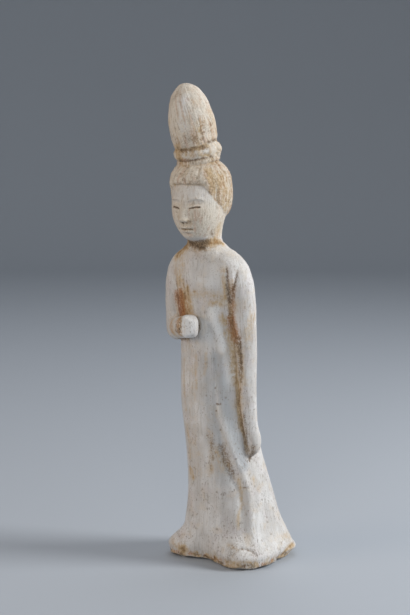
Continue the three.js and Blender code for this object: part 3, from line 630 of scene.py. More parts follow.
# Where soil, tints, painted shade and painted light lie: a run of points, how wide, how strong, and
# which of them it is.
STAINS_AND_PAINTED_LIGHT = {
    # The umber under the chin is partly soil and partly painted shade under the chin and jaw.
    "neck": (
        [(-14.6, -27.8, 203), (-10.7, -27.8, 201.3), (-6.5, -27.1, 199.9), (-4.2, -25, 201.6)],
        2.3, 0.95, "umber"),
    "neck under the jaw": (
        [(-13, -27.6, 203.6), (-6.5, -27.1, 203), (-3, -23.8, 203.4)], 1.4, 0.8, "umber"),
    "neck patch": (
        [(-13.4, -27.4, 202), (-8.4, -27.6, 200.2), (-4, -26.4, 199.6)], 2.0, 1.05, "umber"),
    "neck, ochre": (
        [(-14.6, -27.8, 202), (-6.5, -27.1, 198.6), (-3, -24.6, 200.6)], 2.6, 0.6, "ochre"),
    "neck, rust": ([(-13, -27.8, 201.6), (-6.5, -27.1, 200)], 2.0, 0.35, "rust"),
    "neck beside": (
        [(-2.1, -22.7, 202), (-0.7, -18.4, 202.8), (0.8, -16.4, 201.8)], 2.4, 1.0, "ochre"),
    "neck beside, rust": ([(-2.1, -22.9, 202.4), (0.2, -17, 202.6)], 1.2, 0.3, "rust"),
    # Partly soil and partly painted shade under the jaw.
    "jaw's corner": ([(0.3, -24.8, 209.6), (-0.6, -21.4, 206.6)], 1.3, 0.55, "umber"),
    "neck's side": ([(1.5, -18.6, 212), (0.6, -17.4, 206)], 2.6, 0.5, "ochre"),
    "neckline": (
        [(-18.3, -25.2, 200), (-9.4, -28.4, 196.9), (-1.8, -26.1, 197.2)], 1.4, 0.3, "umber"),
    "chest under the neck": (
        [(-8.4, -29, 195.2), (-5.4, -28.7, 194.2), (-1.7, -27.2, 193)], 2.2, 0.3, "umber"),
    # Bluish-grey painted shade on the chest below the neck, on its side away from the key lamp.
    "chest film": ([(-10, -29.6, 192), (-7, -29.4, 188)], 5, 0.35, "painted_shade"),
    # Pale painted light on the chest's side towards the key lamp.
    "pale chest": ([(4, -27.4, 186), (6, -27, 178)], 4.5, 0.5, "pale"),
    "right shoulder": (
        [(-19.5, -25.4, 199.5), (-23, -24, 197.6), (-26, -23, 194.6)], 3.4, 1.2, "ochre"),
    "wash below the right shoulder": (
        [(-20, -27.5, 191), (-21.2, -28.3, 184), (-22.6, -27.8, 178)], 4.6, 0.4, "ochre"),
    "below the right shoulder": (
        [(-26.3, -26, 185), (-25.6, -26.8, 182), (-24.5, -27.4, 179)], 2.4, 0.34, "ochre"),
    "right armpit line": ([(-26, -26.6, 184), (-25, -27, 177)], 1.6, 0.25, "rust"),
    # Pale painted light over the belly, lightening the fist's shadow there.
    "pale belly": ([(-4, -27.8, 150), (-2, -27, 143), (0, -26.6, 136)], 5, 0.45, "pale"),
    "armpit": ([(13.4, -22.4, 174.5), (13.2, -21.6, 167)], 1.9, 0.6, "umber"),
    "armpit foot": (
        [(13.2, -21.4, 166.3), (12.9, -20.9, 162.6), (12.3, -19.1, 158.6)], 2.3, 0.5, "umber"),
    "armpit foot, rust": (
        [(14, -21, 168), (12.9, -20.4, 160), (13.2, -18.4, 152)], 2.0, 0.45, "rust"),
    "arm side of the armpit": (
        [(15.6, -22, 176), (14.6, -21.9, 168), (14.2, -20.8, 160)], 1.6, 0.6, "rust"),
    "body fold of the armpit": (
        [(12.7, -23.3, 176.9), (12.8, -22.9, 173.8), (12.8, -22.3, 170), (12.6, -21.6, 166)],
        1.3, 0.88, "umber"),
    "arm fold of the armpit": (
        [(16, -21.6, 177), (15.8, -21.8, 174), (15.4, -21.9, 170), (13.9, -21.2, 166.4)],
        1.0, 0.72, "umber"),
    "tongue of the armpit": ([(14.6, -22.2, 179), (14, -22.1, 172)], 1.6, 0.5, "ochre"),
    "body beside the armpit": (
        [(10.4, -24.8, 184.9), (10.6, -24.6, 176.9), (10.4, -23.3, 168.7)], 1.5, 0.55, "ochre"),
    "groove head": (
        [(11.7, -18.4, 156), (12.9, -17.8, 151.1), (13.8, -17.5, 146.2), (14.6, -16.9, 141)],
        2.3, 0.6, "ochre"),
    "groove head, rust": (
        [(12, -18.6, 156), (13.2, -17.8, 150), (14.4, -17, 143)], 2.8, 0.8, "rust"),
    "groove head soil": (
        [(12.4, -18.4, 154), (13.6, -17.6, 147), (14.9, -16.8, 139)], 1.3, 0.6, "umber"),
    "arm groove light": (
        [(10.3, -19.4, 147.3), (11.1, -17.4, 141), (11.4, -16.8, 134.7), (11.8, -16.2, 128.4),
         (12.2, -15.7, 122.1), (12.7, -14.9, 115.7)], 2.8, 0.64, "ochre"),
    # A pale coat in the arm groove: partly its pale crust, partly painted light against the groove's
    # shade.
    "pale crust and painted light in the arm groove": (
        [(11.5, -16.9, 142), (11.2, -17.5, 129.7), (10.9, -18, 117.2)], 2.2, 0.9, "pale"),
    "arm groove": (
        [(14.5, -16.9, 141.2), (16, -16.3, 134), (17.1, -16.1, 126.3), (17.2, -15.9, 119),
         (16.4, -15.3, 112)], 1.9, 0.55, "ochre"),
    "arm groove soil": (
        [(16.4, -17.2, 144), (16.2, -16.6, 137), (16.2, -16.1, 130), (16.6, -15.8, 117)],
        1.5, 0.62, "umber"),
    "arm groove below": (
        [(16.4, -15.3, 112), (13.9, -13.8, 103.1), (15.9, -14.3, 95.8), (16.5, -13.5, 89.5),
         (16.6, -12.1, 82.9), (17.8, -11.5, 76.6)], 0.7, 0.7, "umber"),
    "arm groove below, light": (
        [(15.5, -15, 112), (14.4, -14.6, 103), (15.5, -14.6, 94), (16, -14, 88)],
        2.0, 0.6, "ochre"),
    "web under the hanging hand": (
        [(19.8, -12.2, 74.5), (21.3, -11.6, 72.1), (21.4, -10.9, 69)], 1.0, 0.5, "umber"),
    "web, ochre": ([(19.8, -12.2, 75), (21.6, -11.2, 71.4)], 1.4, 0.4, "ochre"),
    "beside the hand": ([(14.8, -13.8, 95), (15.4, -13, 84)], 1.5, 0.35, "ochre"),
    "bent elbow": (
        [(-25.8, -25.6, 167.6), (-26, -24.8, 164), (-24.8, -25.2, 160), (-22, -27, 157.8)],
        2.8, 1.1, "rust"),
    "beside the elbow": (
        [(-22.4, -27.4, 167.6), (-21.8, -27.6, 163), (-21, -28, 158.5)], 2.0, 0.95, "rust"),
    "bent elbow soil": ([(-26.4, -24.9, 168), (-26.2, -24.5, 162)], 1.4, 0.6, "umber"),
    "above the bent elbow": (
        [(-22.5, -28.2, 179), (-19.6, -29.5, 176), (-17, -29.9, 172)], 3.4, 0.6, "ochre"),
    "bent elbow edge": (
        [(-14.3, -30.2, 173.7), (-12.9, -30, 166.6), (-12.6, -29.4, 159.1)], 2.0, 0.85, "ochre"),
    "elbow front": (
        [(-18.6, -29.2, 170), (-17.6, -29, 164), (-17.2, -28.6, 157)], 3.2, 1.15, "ochre"),
    "elbow front, rust": (
        [(-20.6, -28.6, 171), (-19.8, -28.6, 165), (-19, -28.4, 159)], 2.2, 0.95, "rust"),
    "elbow inner streak": (
        [(-15.4, -30, 169), (-15, -29.4, 164), (-14.4, -29.4, 160)], 1.0, 0.4, "rust"),
    "cuff": (
        [(-26.7, -30.9, 152.9), (-24.8, -33.4, 149.6), (-21.6, -35.2, 146.5)], 3.6, 0.6, "ochre"),
    "cuff soil": ([(-24.8, -33.2, 151), (-22.4, -34.8, 148)], 2.4, 0.42, "rust"),
    "knuckles": (
        [(-15.1, -35.2, 156.3), (-13.1, -39.1, 153.7), (-12.7, -40.1, 150.1),
         (-13.5, -38.2, 146.1)], 2.8, 0.7, "ochre"),
    "knuckle spots": (
        [(-15, -37.4, 155), (-14, -39, 151.6), (-14.4, -38.4, 147.6)], 2.4, 0.5, "rust"),
    "knuckle soil": (
        [(-14.6, -37.8, 155), (-13.6, -39.4, 151.6), (-13.8, -38.8, 147.6)], 1.6, 0.4, "umber"),
    # Pale painted highlight on the fist's front facet.
    "pale end of the fist": ([(-9, -42, 154), (-8, -42, 149)], 5, 1.2, "pale"),
    "belt": (
        [(-10.1, -30.5, 171), (-0.1, -29.2, 171), (5, -26.8, 170.5), (8, -24.5, 169)],
        2.6, 0.4, "ochre"),
    "belt at the left": (
        [(2.4, -27.3, 165.4), (5.1, -25.9, 165.6), (8.5, -23.3, 165.6)], 1.6, 0.55, "ochre"),
    "belt soil": ([(4.6, -26.8, 169.4), (8, -24.6, 168)], 2.2, 0.3, "umber"),
    "belly spot": ([(7.8, -23.3, 157), (8.5, -22.2, 153.1)], 1.9, 0.7, "ochre"),
    # Pale painted highlight down the front ridge.
    "pale ridge": (
        [(3, -27, 161), (4.6, -25.2, 152.4), (6.4, -23.6, 144.9), (7.4, -22.5, 137)],
        2.2, 1.0, "pale"),
    "hanging sleeve": (
        [(23.8, -12.9, 157), (23.1, -15, 152.2), (22, -15.6, 145)], 3.4, 0.42, "ochre"),
    "edge of the right side": (
        [(-21.2, -24.8, 127.6), (-21.9, -24.4, 117.9), (-20.9, -24.7, 107.2), (-19.8, -24.6, 95.8)],
        1.3, 0.4, "ochre"),
    "edge below the right side": (
        [(-19.6, -23.8, 86), (-18.4, -23.2, 76.4), (-18.3, -22.5, 64.7)], 1.6, 0.38, "ochre"),
    "spot at the right side": ([(-18.4, -22, 57.5), (-15.8, -22.9, 52.9)], 1.7, 0.75, "ochre"),
    "skirt, upper streak": (
        [(-9.6, -27.2, 132), (-9.7, -27, 119.4), (-9.7, -27, 111)], 1.1, 0.45, "ochre"),
    "skirt, second streak": ([(-2.2, -26.6, 134), (-3.4, -26.6, 120)], 1.0, 0.4, "ochre"),
    "skirt, low streaks": (
        [(0.2, -25.6, 84.3), (0.7, -25.2, 75.4), (0.4, -24.8, 67.7), (0.6, -24.5, 60)],
        1.6, 0.35, "ochre"),
    "skirt, low spots": ([(0.4, -25, 66), (0.2, -24.5, 58.5)], 1.5, 0.3, "umber"),
    "skirt above the ridge": (
        [(7.4, -22.7, 75), (8.8, -21.9, 71), (10.4, -21.4, 65.8), (13.5, -20.4, 59)],
        2.6, 0.55, "umber"),
    "skirt, mottled line": (
        [(-1.4, -25.5, 81.5), (1.5, -25.2, 79.3), (1.6, -25, 72), (1.3, -24.9, 68)],
        1.8, 0.5, "umber"),
    "hand tip soil": (
        [(23.4, -11.4, 75.4), (22, -10.4, 71.6), (20.4, -10.4, 67.6)], 1.5, 0.7, "umber"),
    "sleeve edge soil": (
        [(18.6, -14, 97), (19.2, -13.6, 86), (19.2, -12.6, 79.5), (18.9, -12, 73)],
        1.0, 0.6, "umber"),
    "skirt mottle": ([(4, -24, 72), (8, -22.4, 63)], 4.2, 0.4, "ochre"),
    "skirt valley": (
        [(17.2, -18, 54.8), (18.4, -17.5, 48.5), (19.6, -18, 39.3), (18.2, -20.3, 33.2),
         (18.7, -21, 25)], 1.1, 0.45, "ochre"),
    # Bluish-grey painted shade on the flank beside the long fold's crest, in the hanging arm's shadow.
    "skirt film": (
        [(4.1, -24.5, 132), (6.2, -23.2, 120), (8.4, -22, 107.4), (12, -20.8, 92), (16, -18.6, 77),
         (19.6, -15.6, 64)], 3.6, 1.0, "painted_shade"),
    # Pale painted highlight along the long fold's crest.
    "pale edge of the long fold": (
        [(5.3, -24.1, 101.1), (7.2, -23.5, 92.4), (10.4, -22.5, 84.4), (13.4, -21.3, 76.4),
         (15.4, -19.9, 70.1), (18.2, -18.3, 63.9)], 1.0, 0.6, "pale"),
    "warm side of the skirt": (
        [(-15, -26, 135), (-14, -25.6, 100), (-13, -25, 60)], 7, 0.2, "ochre"),
    # The next two are bluish-grey painted shade down the front of the skirt, the second near its foot.
    "front film": (
        [(-2, -26.5, 128), (-0.8, -26.3, 109.5), (2.9, -24.9, 85.8), (9, -23.5, 55)],
        6, 0.7, "painted_shade"),
    "low film": ([(9, -23.5, 52), (10.8, -23.9, 30)], 5, 0.45, "painted_shade"),
    "left side": ([(21.8, -9.5, 53.9), (22.8, -6.6, 48)], 2.2, 0.35, "ochre"),
    "toe patch": ([(-22.2, -26.8, 6.6), (-19.4, -26.6, 6.4), (-21, -26.2, 4)], 2.0, 1.1, "ochre"),
    "warm corner of the hem": ([(-27, -25, 12), (-24, -25.6, 14)], 5, 0.25, "rust"),
    "pale foot of the skirt": ([(-6, -27.4, 12), (6, -28, 12)], 4, 0.3, "pale"),
    "soil beside the left toe": (
        [(19.5, -26.1, 14.3), (19.6, -27.8, 10.6), (17, -28.6, 7)], 2.2, 0.45, "umber"),
    "toe patch soil": ([(-21, -26.8, 6.4), (-19.8, -26.6, 5.6)], 1.1, 0.4, "umber"),
    "right toe": ([(-29.9, -25.5, 9.9), (-26.2, -27, 7.6)], 2.0, 0.4, "ochre"),
    "left toe": (
        [(14.9, -28.2, 4.3), (22.8, -28.4, 5.2), (26.9, -26.7, 5.6), (32.1, -20.2, 4.6)],
        1.6, 0.6, "ochre"),
    "left toe, upper": ([(15.1, -26.4, 14.8), (21.2, -26.3, 13.4)], 1.2, 0.4, "ochre"),
    "hem corner": (
        [(32.1, 6.9, 3), (32.9, 10.1, 5.5), (33.1, 14.3, 7), (31.6, 20.6, 7.4)],
        1.5, 0.85, "ochre"),
    "hem corner, above": ([(29.6, 10, 14), (28.5, 18, 12)], 2.6, 0.4, "ochre"),
    "hair over the temple": (
        [(2.3, -30.3, 246.9), (5.2, -30.1, 240.9), (5.5, -28.6, 234.8)], 2.2, 0.75, "ochre"),
    "hair behind the temple": (
        [(7.3, -22.8, 242.1), (7.4, -19, 234.7), (5.8, -15.8, 225.4)], 2.6, 0.6, "ochre"),
    "top of the knot": ([(-14, -39, 293.3), (-15.5, -37.6, 289)], 2.0, 0.45, "umber"),
    "left end of the cord": (
        [(-15.1, -37.7, 260.2), (-15.7, -36, 256.6), (-15.2, -35.8, 252.9)], 2.6, 0.9, "ochre"),
    "pale side of the cord": (
        [(-8, -36.4, 258.4), (-2, -34, 259), (2, -30, 259.4)], 1.6, 0.8, "pale"),
    "below the cord": ([(-13, -36.2, 252.4), (-9.6, -35.8, 252.4)], 1.3, 0.5, "rust"),
    "dark hole below the cord": ([(1.6, -26.6, 255.2), (2.4, -25, 254.6)], 0.8, 0.8, "umber"),
    "smudge on the knot": ([(-7.6, -39.2, 266.6), (-6, -38.4, 265.6)], 1.7, 0.55, "umber"),
    "dark line low on the knot": (
        [(0.8, -28.4, 263.8), (1.2, -25, 264.5), (0.1, -20.4, 265.7)], 0.8, 0.8, "umber"),
}

# Where the hem's edge is worn up from the floor.
WORN_HEM = [(-15.4, -24.1), (-9, -22), (25, -26.6), (32.6, -13), (34, -5.6)]

# Small dark flecks that show one by one on the skirt.
FLECKS = [
    (3.5, -24.8, 112.3), (6.3, -23.2, 85.9), (9.3, -21.2, 106.2), (-1.3, -24.7, 64.2),
    (-3.7, -26.6, 111.8),
    (-2.2, -26.5, 107.5), (22.9, -13.1, 47.1), (25.4, 6.2, 33.3), (29.4, -0.5, 18.6),
    (30, -11, 17.2), (4, -24.4, 98),
]


def on(gap):
    """1 where a point lies on a form, 0 away from it."""
    return rise(1.1, 0.3, gap)


class Zones:
    """Where each point lies.

    It holds the point's place in the frames of the head, the cord, the knot and the fist, its
    distance from each form, and how much of it belongs to the cord, the knot and the hair.
    """

    def __init__(self, p):
        self.high = p[:, 2]
        self.head = local(p, HEAD)
        self.around_cord = local(p, CORD)
        self.in_knot = knot_frame(p)
        self.in_fist = local(p, FIST_PLACE)
        self.gather = np.hypot(self.around_cord[:, 0], self.around_cord[:, 1])
        self.cord_gap = cord(p)
        self.cord = on(self.cord_gap) * rise(*CORD_STARTS, p[:, 2])
        self.knot = on(knot(p)) * rise(*KNOT_STARTS, p[:, 2]) * (1 - self.cord)
        hair = rise(0.7, -0.3, below_hairline(self.head)) * rise(-0.9, -0.3, -hair_form(self.head))
        hair = np.maximum(hair * rise(*HEAD_STARTS, p[:, 2]), rise(*NO_SKIN, p[:, 2]))
        self.hair = hair * (1 - self.cord) * (1 - self.knot)
        self.left = limb(p, LEFT_LINE)[0]
        self.right = limb(p, RIGHT_LINE)[0]
        self.fist = fist(p)
        self.trunk = trunk(p)
        self.front = rise(-0.2, 0.5, np.cos(np.radians(round_body(p))))


# The strands are counted round a circle of this radius, and the brush's marks are this much
# longer than they are wide.
COMB_RADIUS = 17
BRUSH_LONG = 9
SOILS_AND_PAINTED_LIGHT = ("ochre", "rust", "umber", "painted_shade", "pale", "aged", "speckled")
LINE_REACH = 4
FLECK_WIDE = 0.6
FLECK_REACH = 3
FLECK_DARK = 0.75


def round_axis(q):
    """The angle round a frame's upright, from its front."""
    return np.arctan2(q[:, 0], -q[:, 1])


def strand_lay(angle, along):
    """Places on a round of strands, from the angle round it and the way along a strand."""
    across = COMB_RADIUS * np.sin(angle)
    return np.column_stack([across, COMB_RADIUS * np.cos(angle), along / BRUSH_LONG])


def brushed(p, zones):
    """Where each point lies along the brush marks and the strands of hair, shortened along them."""
    w, k = zones.around_cord, zones.in_knot
    wave = 0.05 * np.sin(w[:, 2] / 3.6 + 2.2 * grain(p, 11, 3)) + 0.09 * grain(p, (9, 9, 12), 4)
    twist = 0.012 * k[:, 2] + 0.1 * grain(p, (12, 12, 22), 6)
    combed = strand_lay(round_axis(w) + wave, zones.gather - w[:, 2])
    bound = strand_lay(round_axis(k) + twist, k[:, 2])
    lay = np.where(zones.hair[:, None] > 0.5, combed, p / (1, 1, BRUSH_LONG))
    return np.where(zones.knot[:, None] > 0.5, bound, lay)


def lay_colour(soil, kind, amount):
    """Adds soil, tint, painted shade or painted light of a kind where there isn't more of it already.
    """
    soil[kind] = np.maximum(soil[kind], amount)


def carved_lines(p, soil):
    """The height of the carved lines, the soil on them, and the soil, painted shade and painted light
    of the stains.
    """
    out = np.zeros(len(p))
    for points, width, height, dirt in CARVED_LINES.values():
        gap, along = to_line(p, points, LINE_REACH * width)
        mark = ends(along)
        out += height * bell(gap, width) * mark
        lay_colour(soil, "umber", dirt * bell(gap, width) * mark)
    for points, width, strong, kind in STAINS_AND_PAINTED_LIGHT.values():
        gap, _ = to_line(p, points, LINE_REACH * width)
        lay_colour(soil, kind, strong * bell(gap, width))
    for place in FLECKS:
        gap, _ = to_line(p, [place], FLECK_REACH)
        lay_colour(soil, "umber", FLECK_DARK * bell(gap, FLECK_WIDE))
    return out


# The lower and upper edge of the belt, and the neckline, which rises towards the back.
BELT = (164.8, 172.4)
NECKLINE = {"y": -28.3, "high": 197, "slope": 0.38}


def beside_the_arms(zones, z, soil):
    """Grooves where the sleeves meet the body, and the soil in them."""
    reach = rise(66, 76, z) * rise(176, 164, z)
    meeting = np.maximum(zones.left, zones.trunk)
    out = -(0.3 + 0.35 * zones.front) * bell(meeting, 1.1) * reach
    crust = rise(110, 118, z) * rise(150, 144, z)
    lay_colour(soil, "ochre", (0.2 + 0.2 * rise(84, 96, z) - 0.2 * crust) * bell(meeting, 1.8) * reach)
    lay_colour(soil, "umber", 0.25 * (1 - crust) * bell(meeting, 0.8) * reach)
    right = np.minimum(zones.right, zones.fist)
    inner = bell(np.maximum(right, zones.trunk), 1.2) * rise(180, 168, z)
    lower = rise(158, 154, z)
    out -= (0.3 + 0.3 * lower) * inner
    lay_colour(soil, "umber", (0.1 + 0.65 * lower) * inner)
    return out


def hem_marks(p, z, soil):
    """The hem's lip, its chips, and the soil that it picked up."""
    out = 0.5 * bell(z - 1.7, 0.8) - 0.4 * bell(z - 5, 1.2)
    chips = np.maximum(grain(p, (3.6, 3.6, 2.4), 9) - 0.1, 0)
    out -= 1.0 * rise(4.4, 1.4, z) * chips
    lay_colour(soil, "ochre", 0.7 * rise(5.6, 2.6, z + 2 * grain(p, 4, 10)) * rise(0.9, 1.7, z))
    spots = rise(-0.1, 0.5, grain(p, 2.2, 31))
    lay_colour(soil, "umber", 0.72 * bell(z - 3 - 1.2 * grain(p, 4, 14), 1.3) * spots)
    lay_colour(soil, "rust", 0.5 * bell(z - 3.6, 1.6) * rise(0.1, 0.6, grain(p, 3, 36)))
    lay_colour(soil, "ochre", 0.3 * rise(9, 2.5, z))
    return out


def dress(p, zones, soil):
    """Grooves beside the arms, the belt, the neckline, the hem and the marks of the brush."""
    x, y, z = p.T
    out = beside_the_arms(zones, z, soil)

    bare = 1 - on(np.minimum(zones.left, zones.right))
    back = 0.6 * (1 - zones.front)
    upper = np.maximum(zones.front * rise(-15, -11, x) * rise(12, 9, x), back)
    lower = np.maximum(zones.front * rise(-3, 1, x) * rise(11, 9, x), back)
    belt = bell(z - BELT[1], 0.55) * upper + bell(z - BELT[0], 0.55) * lower
    belt = belt * bare * rise(-0.5, 0.3, grain(p, (4, 4, 40), 27))
    out -= 0.4 * belt
    lay_colour(soil, "umber", 0.4 * belt)
    lay_colour(soil, "ochre", 0.5 * belt)

    collar = z - (NECKLINE["high"] + NECKLINE["slope"] * (y - NECKLINE["y"]))
    out += 0.55 * rise(0.4, -0.3, collar) * rise(-14, -4, collar) * rise(188, 193, z)
    lay_colour(soil, "umber", 0.3 * bell(collar - 0.6, 0.8) * rise(190, 194, z))

    out += hem_marks(p, z, soil)
    plain = 1 - rise(*DRESS_ENDS, z)
    out += plain * (0.15 * grain(p, (11, 11, 46), 11) + 0.07 * grain(p, (2.6, 2.6, 22), 12))
    out += plain * 0.05 * grain(p, (1.6, 1.6, 9), 15)
    lay_colour(soil, "aged", 0.3 * plain * rise(170, 200, z))
    return out


def strands(lay, size, seed):
    """Ridges between thin combed grooves, from 0 in a groove to 1."""
    return 1 - bell(grain(lay, size, seed), 0.16)


def crumbly(p, lay):
    """The uneven skin of the slip on the hair."""
    return 0.1 * grain(p, 1.3, 28) + 0.08 * grain(lay, 0.9, 17)


def combed_hair(p, zones, lay, soil):
    """The cap of hair: its strands, the rings below the cord, and the soil in and under it."""
    w, q, hair = zones.around_cord, zones.head, zones.hair
    ridges = strands(lay, 1.5, 16)
    out = hair * (0.2 * grain(lay, 2.8, 5) + 0.26 * (ridges - 0.7) + crumbly(p, lay))
    rings = sum(deep * bell(zones.gather - far, 0.5) for far, deep in ((13.4, 1), (15.2, 1), (17, 0.7)))
    out += hair * 0.3 * rings * rise(-9, -6, w[:, 2])

    side = rise(-13, -6, q[:, 1])
    between = 1 - ridges
    blotch = grain(p, (5, 5, 10), 8)
    lay_colour(soil, "aged", hair + 0.8 * zones.knot + 0.75 * zones.cord)
    lay_colour(soil, "ochre", hair * (0.05 + 0.28 * side + (0.1 + 0.1 * side) * blotch + 0.15 * between))
    lay_colour(soil, "rust", hair * (0.14 + 0.2 * side) * rise(-0.5, 0.5, grain(p, (1.9, 1.9, 2.8), 32)))
    curls = rise(0.15, 0.5, grain(p, 1.6, 19)) * (1 - side)
    flakes = rise(0.15, 0.5, grain(p, (1.5, 1.5, 2.6), 38)) * side
    lay_colour(soil, "pale", 0.28 * hair * flakes)
    lay_colour(soil, "umber", hair * (0.02 + 0.3 * side + 0.14 * between + 0.36 * curls))

    edge = bell(np.abs(below_hairline(q)), 0.9) * rise(-1.4, -0.3, -hair_form(q))
    brow = edge * rise(0, -10, q[:, 1]) * rise(236, 238, p[:, 2])
    lay_colour(soil, "umber", brow * (0.04 + 0.3 * grain(p, 2.6, 20)))
    lay_colour(soil, "ochre", 0.35 * brow)
    return out


def bound_knot(p, zones, lay, soil):
    """The knot of hair: its plies, the soil low down, browning on its left side that is partly soil
    and partly painted shade, and a painted highlight on that side.
    """
    knotted = zones.knot
    x, y, z = zones.in_knot.T
    apart = rise(1.5, 7, np.hypot(x, y))
    plies = strands(lay, 0.8, 18)
    out = knotted * (apart * (0.2 * grain(p, (3, 3, 5), 7) + 0.13 * (plies - 0.7)) + crumbly(p, lay))

    low_left = bell(z + 5, 9) * rise(5, 11, x) * rise(9, 0, y)
    # The browning that grows towards the left side, which faces the key lamp, is partly soil and partly
    # painted shade that tones that side down.
    tone = 0.14 * rise(4, 12, x) + 0.16 * low_left + 0.2 * grain(p, (5, 5, 6), 29)
    lay_colour(soil, "ochre", knotted * (tone + 0.1 * (1 - plies)))
    smudge = rise(-0.1, 0.6, grain(p, (3, 3, 4), 21)) * rise(12, -8, z)
    streaks = rise(0.2, 0.7, grain(lay, 1.2, 33)) * rise(-14, 4, z)
    # The umber that grows towards the left side is partly painted shade too.
    dark = 0.34 * smudge + 0.2 * streaks + 0.14 * rise(6, 13, x) + 0.04 * (1 - plies)
    lay_colour(soil, "umber", knotted * dark)
    rusty = rise(-0.1, 0.6, grain(p, (2.4, 2.4, 3.4), 34)) * rise(-3, 5, x)
    lay_colour(soil, "rust", 0.28 * knotted * rusty)
    # A band of pale painted highlight on the knot's side towards the key lamp.
    lay_colour(soil, "pale", knotted * 0.8 * bell(x - 4.5, 2.6) * rise(-8, 6, z) * rise(26, 18, z))
    return out


def tied_cord(p, zones, soil):
    """The cord: its twist, the creases of its bow, and the dark lines above and below it."""
    w = zones.around_cord
    turn = np.degrees(round_axis(w))
    ply = 0.5 + 0.5 * np.cos(22 * np.radians(turn) + 1.3 * w[:, 2] + 1.6 * grain(p, 5, 22))
    out = zones.cord * (0.2 * grain(p, 2.4, 23) - 0.1 * ply ** 4 - 0.16 * bell(w[:, 2] - 0.5, 0.6))
    bow = zones.cord * rise(5.5, 3, np.linalg.norm(w - CORD_BOW[0], axis=1))
    upper, lower = w[:, 2] - 3 + 0.5 * w[:, 1], w[:, 2] + 1 + 0.3 * w[:, 1]
    crease = np.maximum(bell(upper, 0.5), bell(lower, 0.5))
    out -= 0.5 * bow * crease
    lay_colour(soil, "umber", 0.5 * bow * crease)
    lay_colour(soil, "ochre", 0.4 * bow)
    lay_colour(soil, "ochre", zones.cord * (0.12 + 0.2 * ply ** 3 + 0.25 * grain(p, 3, 24)))

    front = np.clip(rise(115, 90, turn) + rise(130, 160, turn), 0.15, 1)
    above = bell(np.maximum(zones.cord_gap, knot(p)), 0.75) * rise(254, 256, p[:, 2]) * front
    below = bell(np.maximum(zones.cord_gap, head(p)), 1.0) * rise(258, 252, p[:, 2])
    below = below * rise(244, 248, p[:, 2])
    lay_colour(soil, "umber", above * (0.55 + 0.5 * grain(p, (6, 6, 4), 25)))
    lay_colour(soil, "ochre", 0.9 * above)
    lay_colour(soil, "umber", 0.6 * below * (0.5 + 0.8 * grain(p, (4, 4, 3), 26)))
    lay_colour(soil, "rust", 0.85 * below * (0.65 + 0.6 * grain(p, (5, 5, 3), 35)))
    return out - 0.35 * (above + below)


# The fist, in millimetres: the rim of its end, the flat facet pressed in front, the gaps between
# the fingers, and the knuckles' places on the figure, from the top down.
RIM_HALF = (5.2, 7.2)
RIM_SQUARE = 3
FACET_WAY = (-0.5, -0.866)
FACET_OUT = 5.6
FINGER_WIDE = 3.4
KNUCKLES = [(-15, -38, 154.4), (-13.2, -39.2, 150.6), (-13.8, -38.4, 146.8)]


def closed_hand(p, zones, soil):
    """The block of the fist in its sleeve: a rim, a flat facet in front and the fingers' marks."""
    x, y, z = zones.in_fist.T
    here = on(zones.fist)
    wide, high = np.abs(x) / RIM_HALF[0], np.abs(z) / RIM_HALF[1]
    ring = (wide ** RIM_SQUARE + high ** RIM_SQUARE) ** (1 / RIM_SQUARE)
    end = here * rise(-1.5, -3.5, y)
    facet = FACET_WAY[0] * x + FACET_WAY[1] * y
    out = -0.8 * here * np.maximum(facet - FACET_OUT, 0) * rise(6.4, 5.4, np.abs(z))
    out -= 0.4 * end * bell(ring - 0.83, 0.06)
    out += 0.3 * end * bell(ring - 0.96, 0.06)
    lay_colour(soil, "ochre", 0.15 * end * bell(ring - 0.84, 0.08))
    fingers = here * rise(-3.6, -5, x) * rise(6, 5, np.abs(z))
    gaps = bell((z + 1.5 * FINGER_WIDE) % FINGER_WIDE - FINGER_WIDE / 2, 0.4)
    out -= 0.3 * fingers * gaps
    lay_colour(soil, "umber", 0.4 * fingers * gaps)
    side = on(np.minimum(zones.fist, zones.right)) * bell(to_line(p, KNUCKLES, 9)[0], 2.8)
    spots = rise(0, 0.4, grain(p, (1.4, 1.4, 1.7), 37))
    out -= 0.2 * side * spots
    lay_colour(soil, "umber", side * spots)
    lay_colour(soil, "rust", 0.45 * side * (1 - 0.5 * spots))
    opening = on(zones.right) * (1 - here * rise(0.5, -0.5, zones.fist)) * bell(y - 4.4, 0.7)
    out -= 0.4 * opening
    lay_colour(soil, "umber", 0.2 * opening)
    return out


def face_soil_and_shade(zones, soil):
    """Soil and painted shade in the face's own lines: the eye slits, the lips' parting, the
    nostrils, beside the nose's wings and under the lower lip, with ochre round the nose and mouth.
    """
    x, y, z = zones.head.T
    side = np.abs(x)
    front = rise(-9, -12, y)
    eye, slit = eye_line(side)
    line = bell(z - slit, 0.36) * rise(1.15, 0.85, np.abs(eye))
    part = MOUTH["z"] - 0.3 * (side / MOUTH["half"]) ** 2
    lips = bell(z - part, 0.4) * rise(MOUTH["half"] + 0.5, MOUTH["half"] - 0.6, side)
    nostril = bell(side - 1.4, 0.6) * bell(z - NOSE["base"], 0.6)
    wing = bell(side - 3.6, 0.55) * bell(z + 9.2, 1.4)
    under = bell(x, 2.4) * bell(z + 17.6, 0.7)
    # These dark lines are partly soil and partly painted shade in the face's creases.
    lines = np.maximum.reduce([1.15 * line, 1.25 * lips, 1.2 * nostril, 0.6 * wing, 0.25 * under])
    lay_colour(soil, "umber", front * lines)
    round_nose = bell(side - 3.6, 1.6) * bell(z + 10, 2.6)
    round_mouth = bell(z - part, 1.6) * lips
    lay_colour(soil, "ochre", front * 0.4 * np.maximum(round_nose, round_mouth))


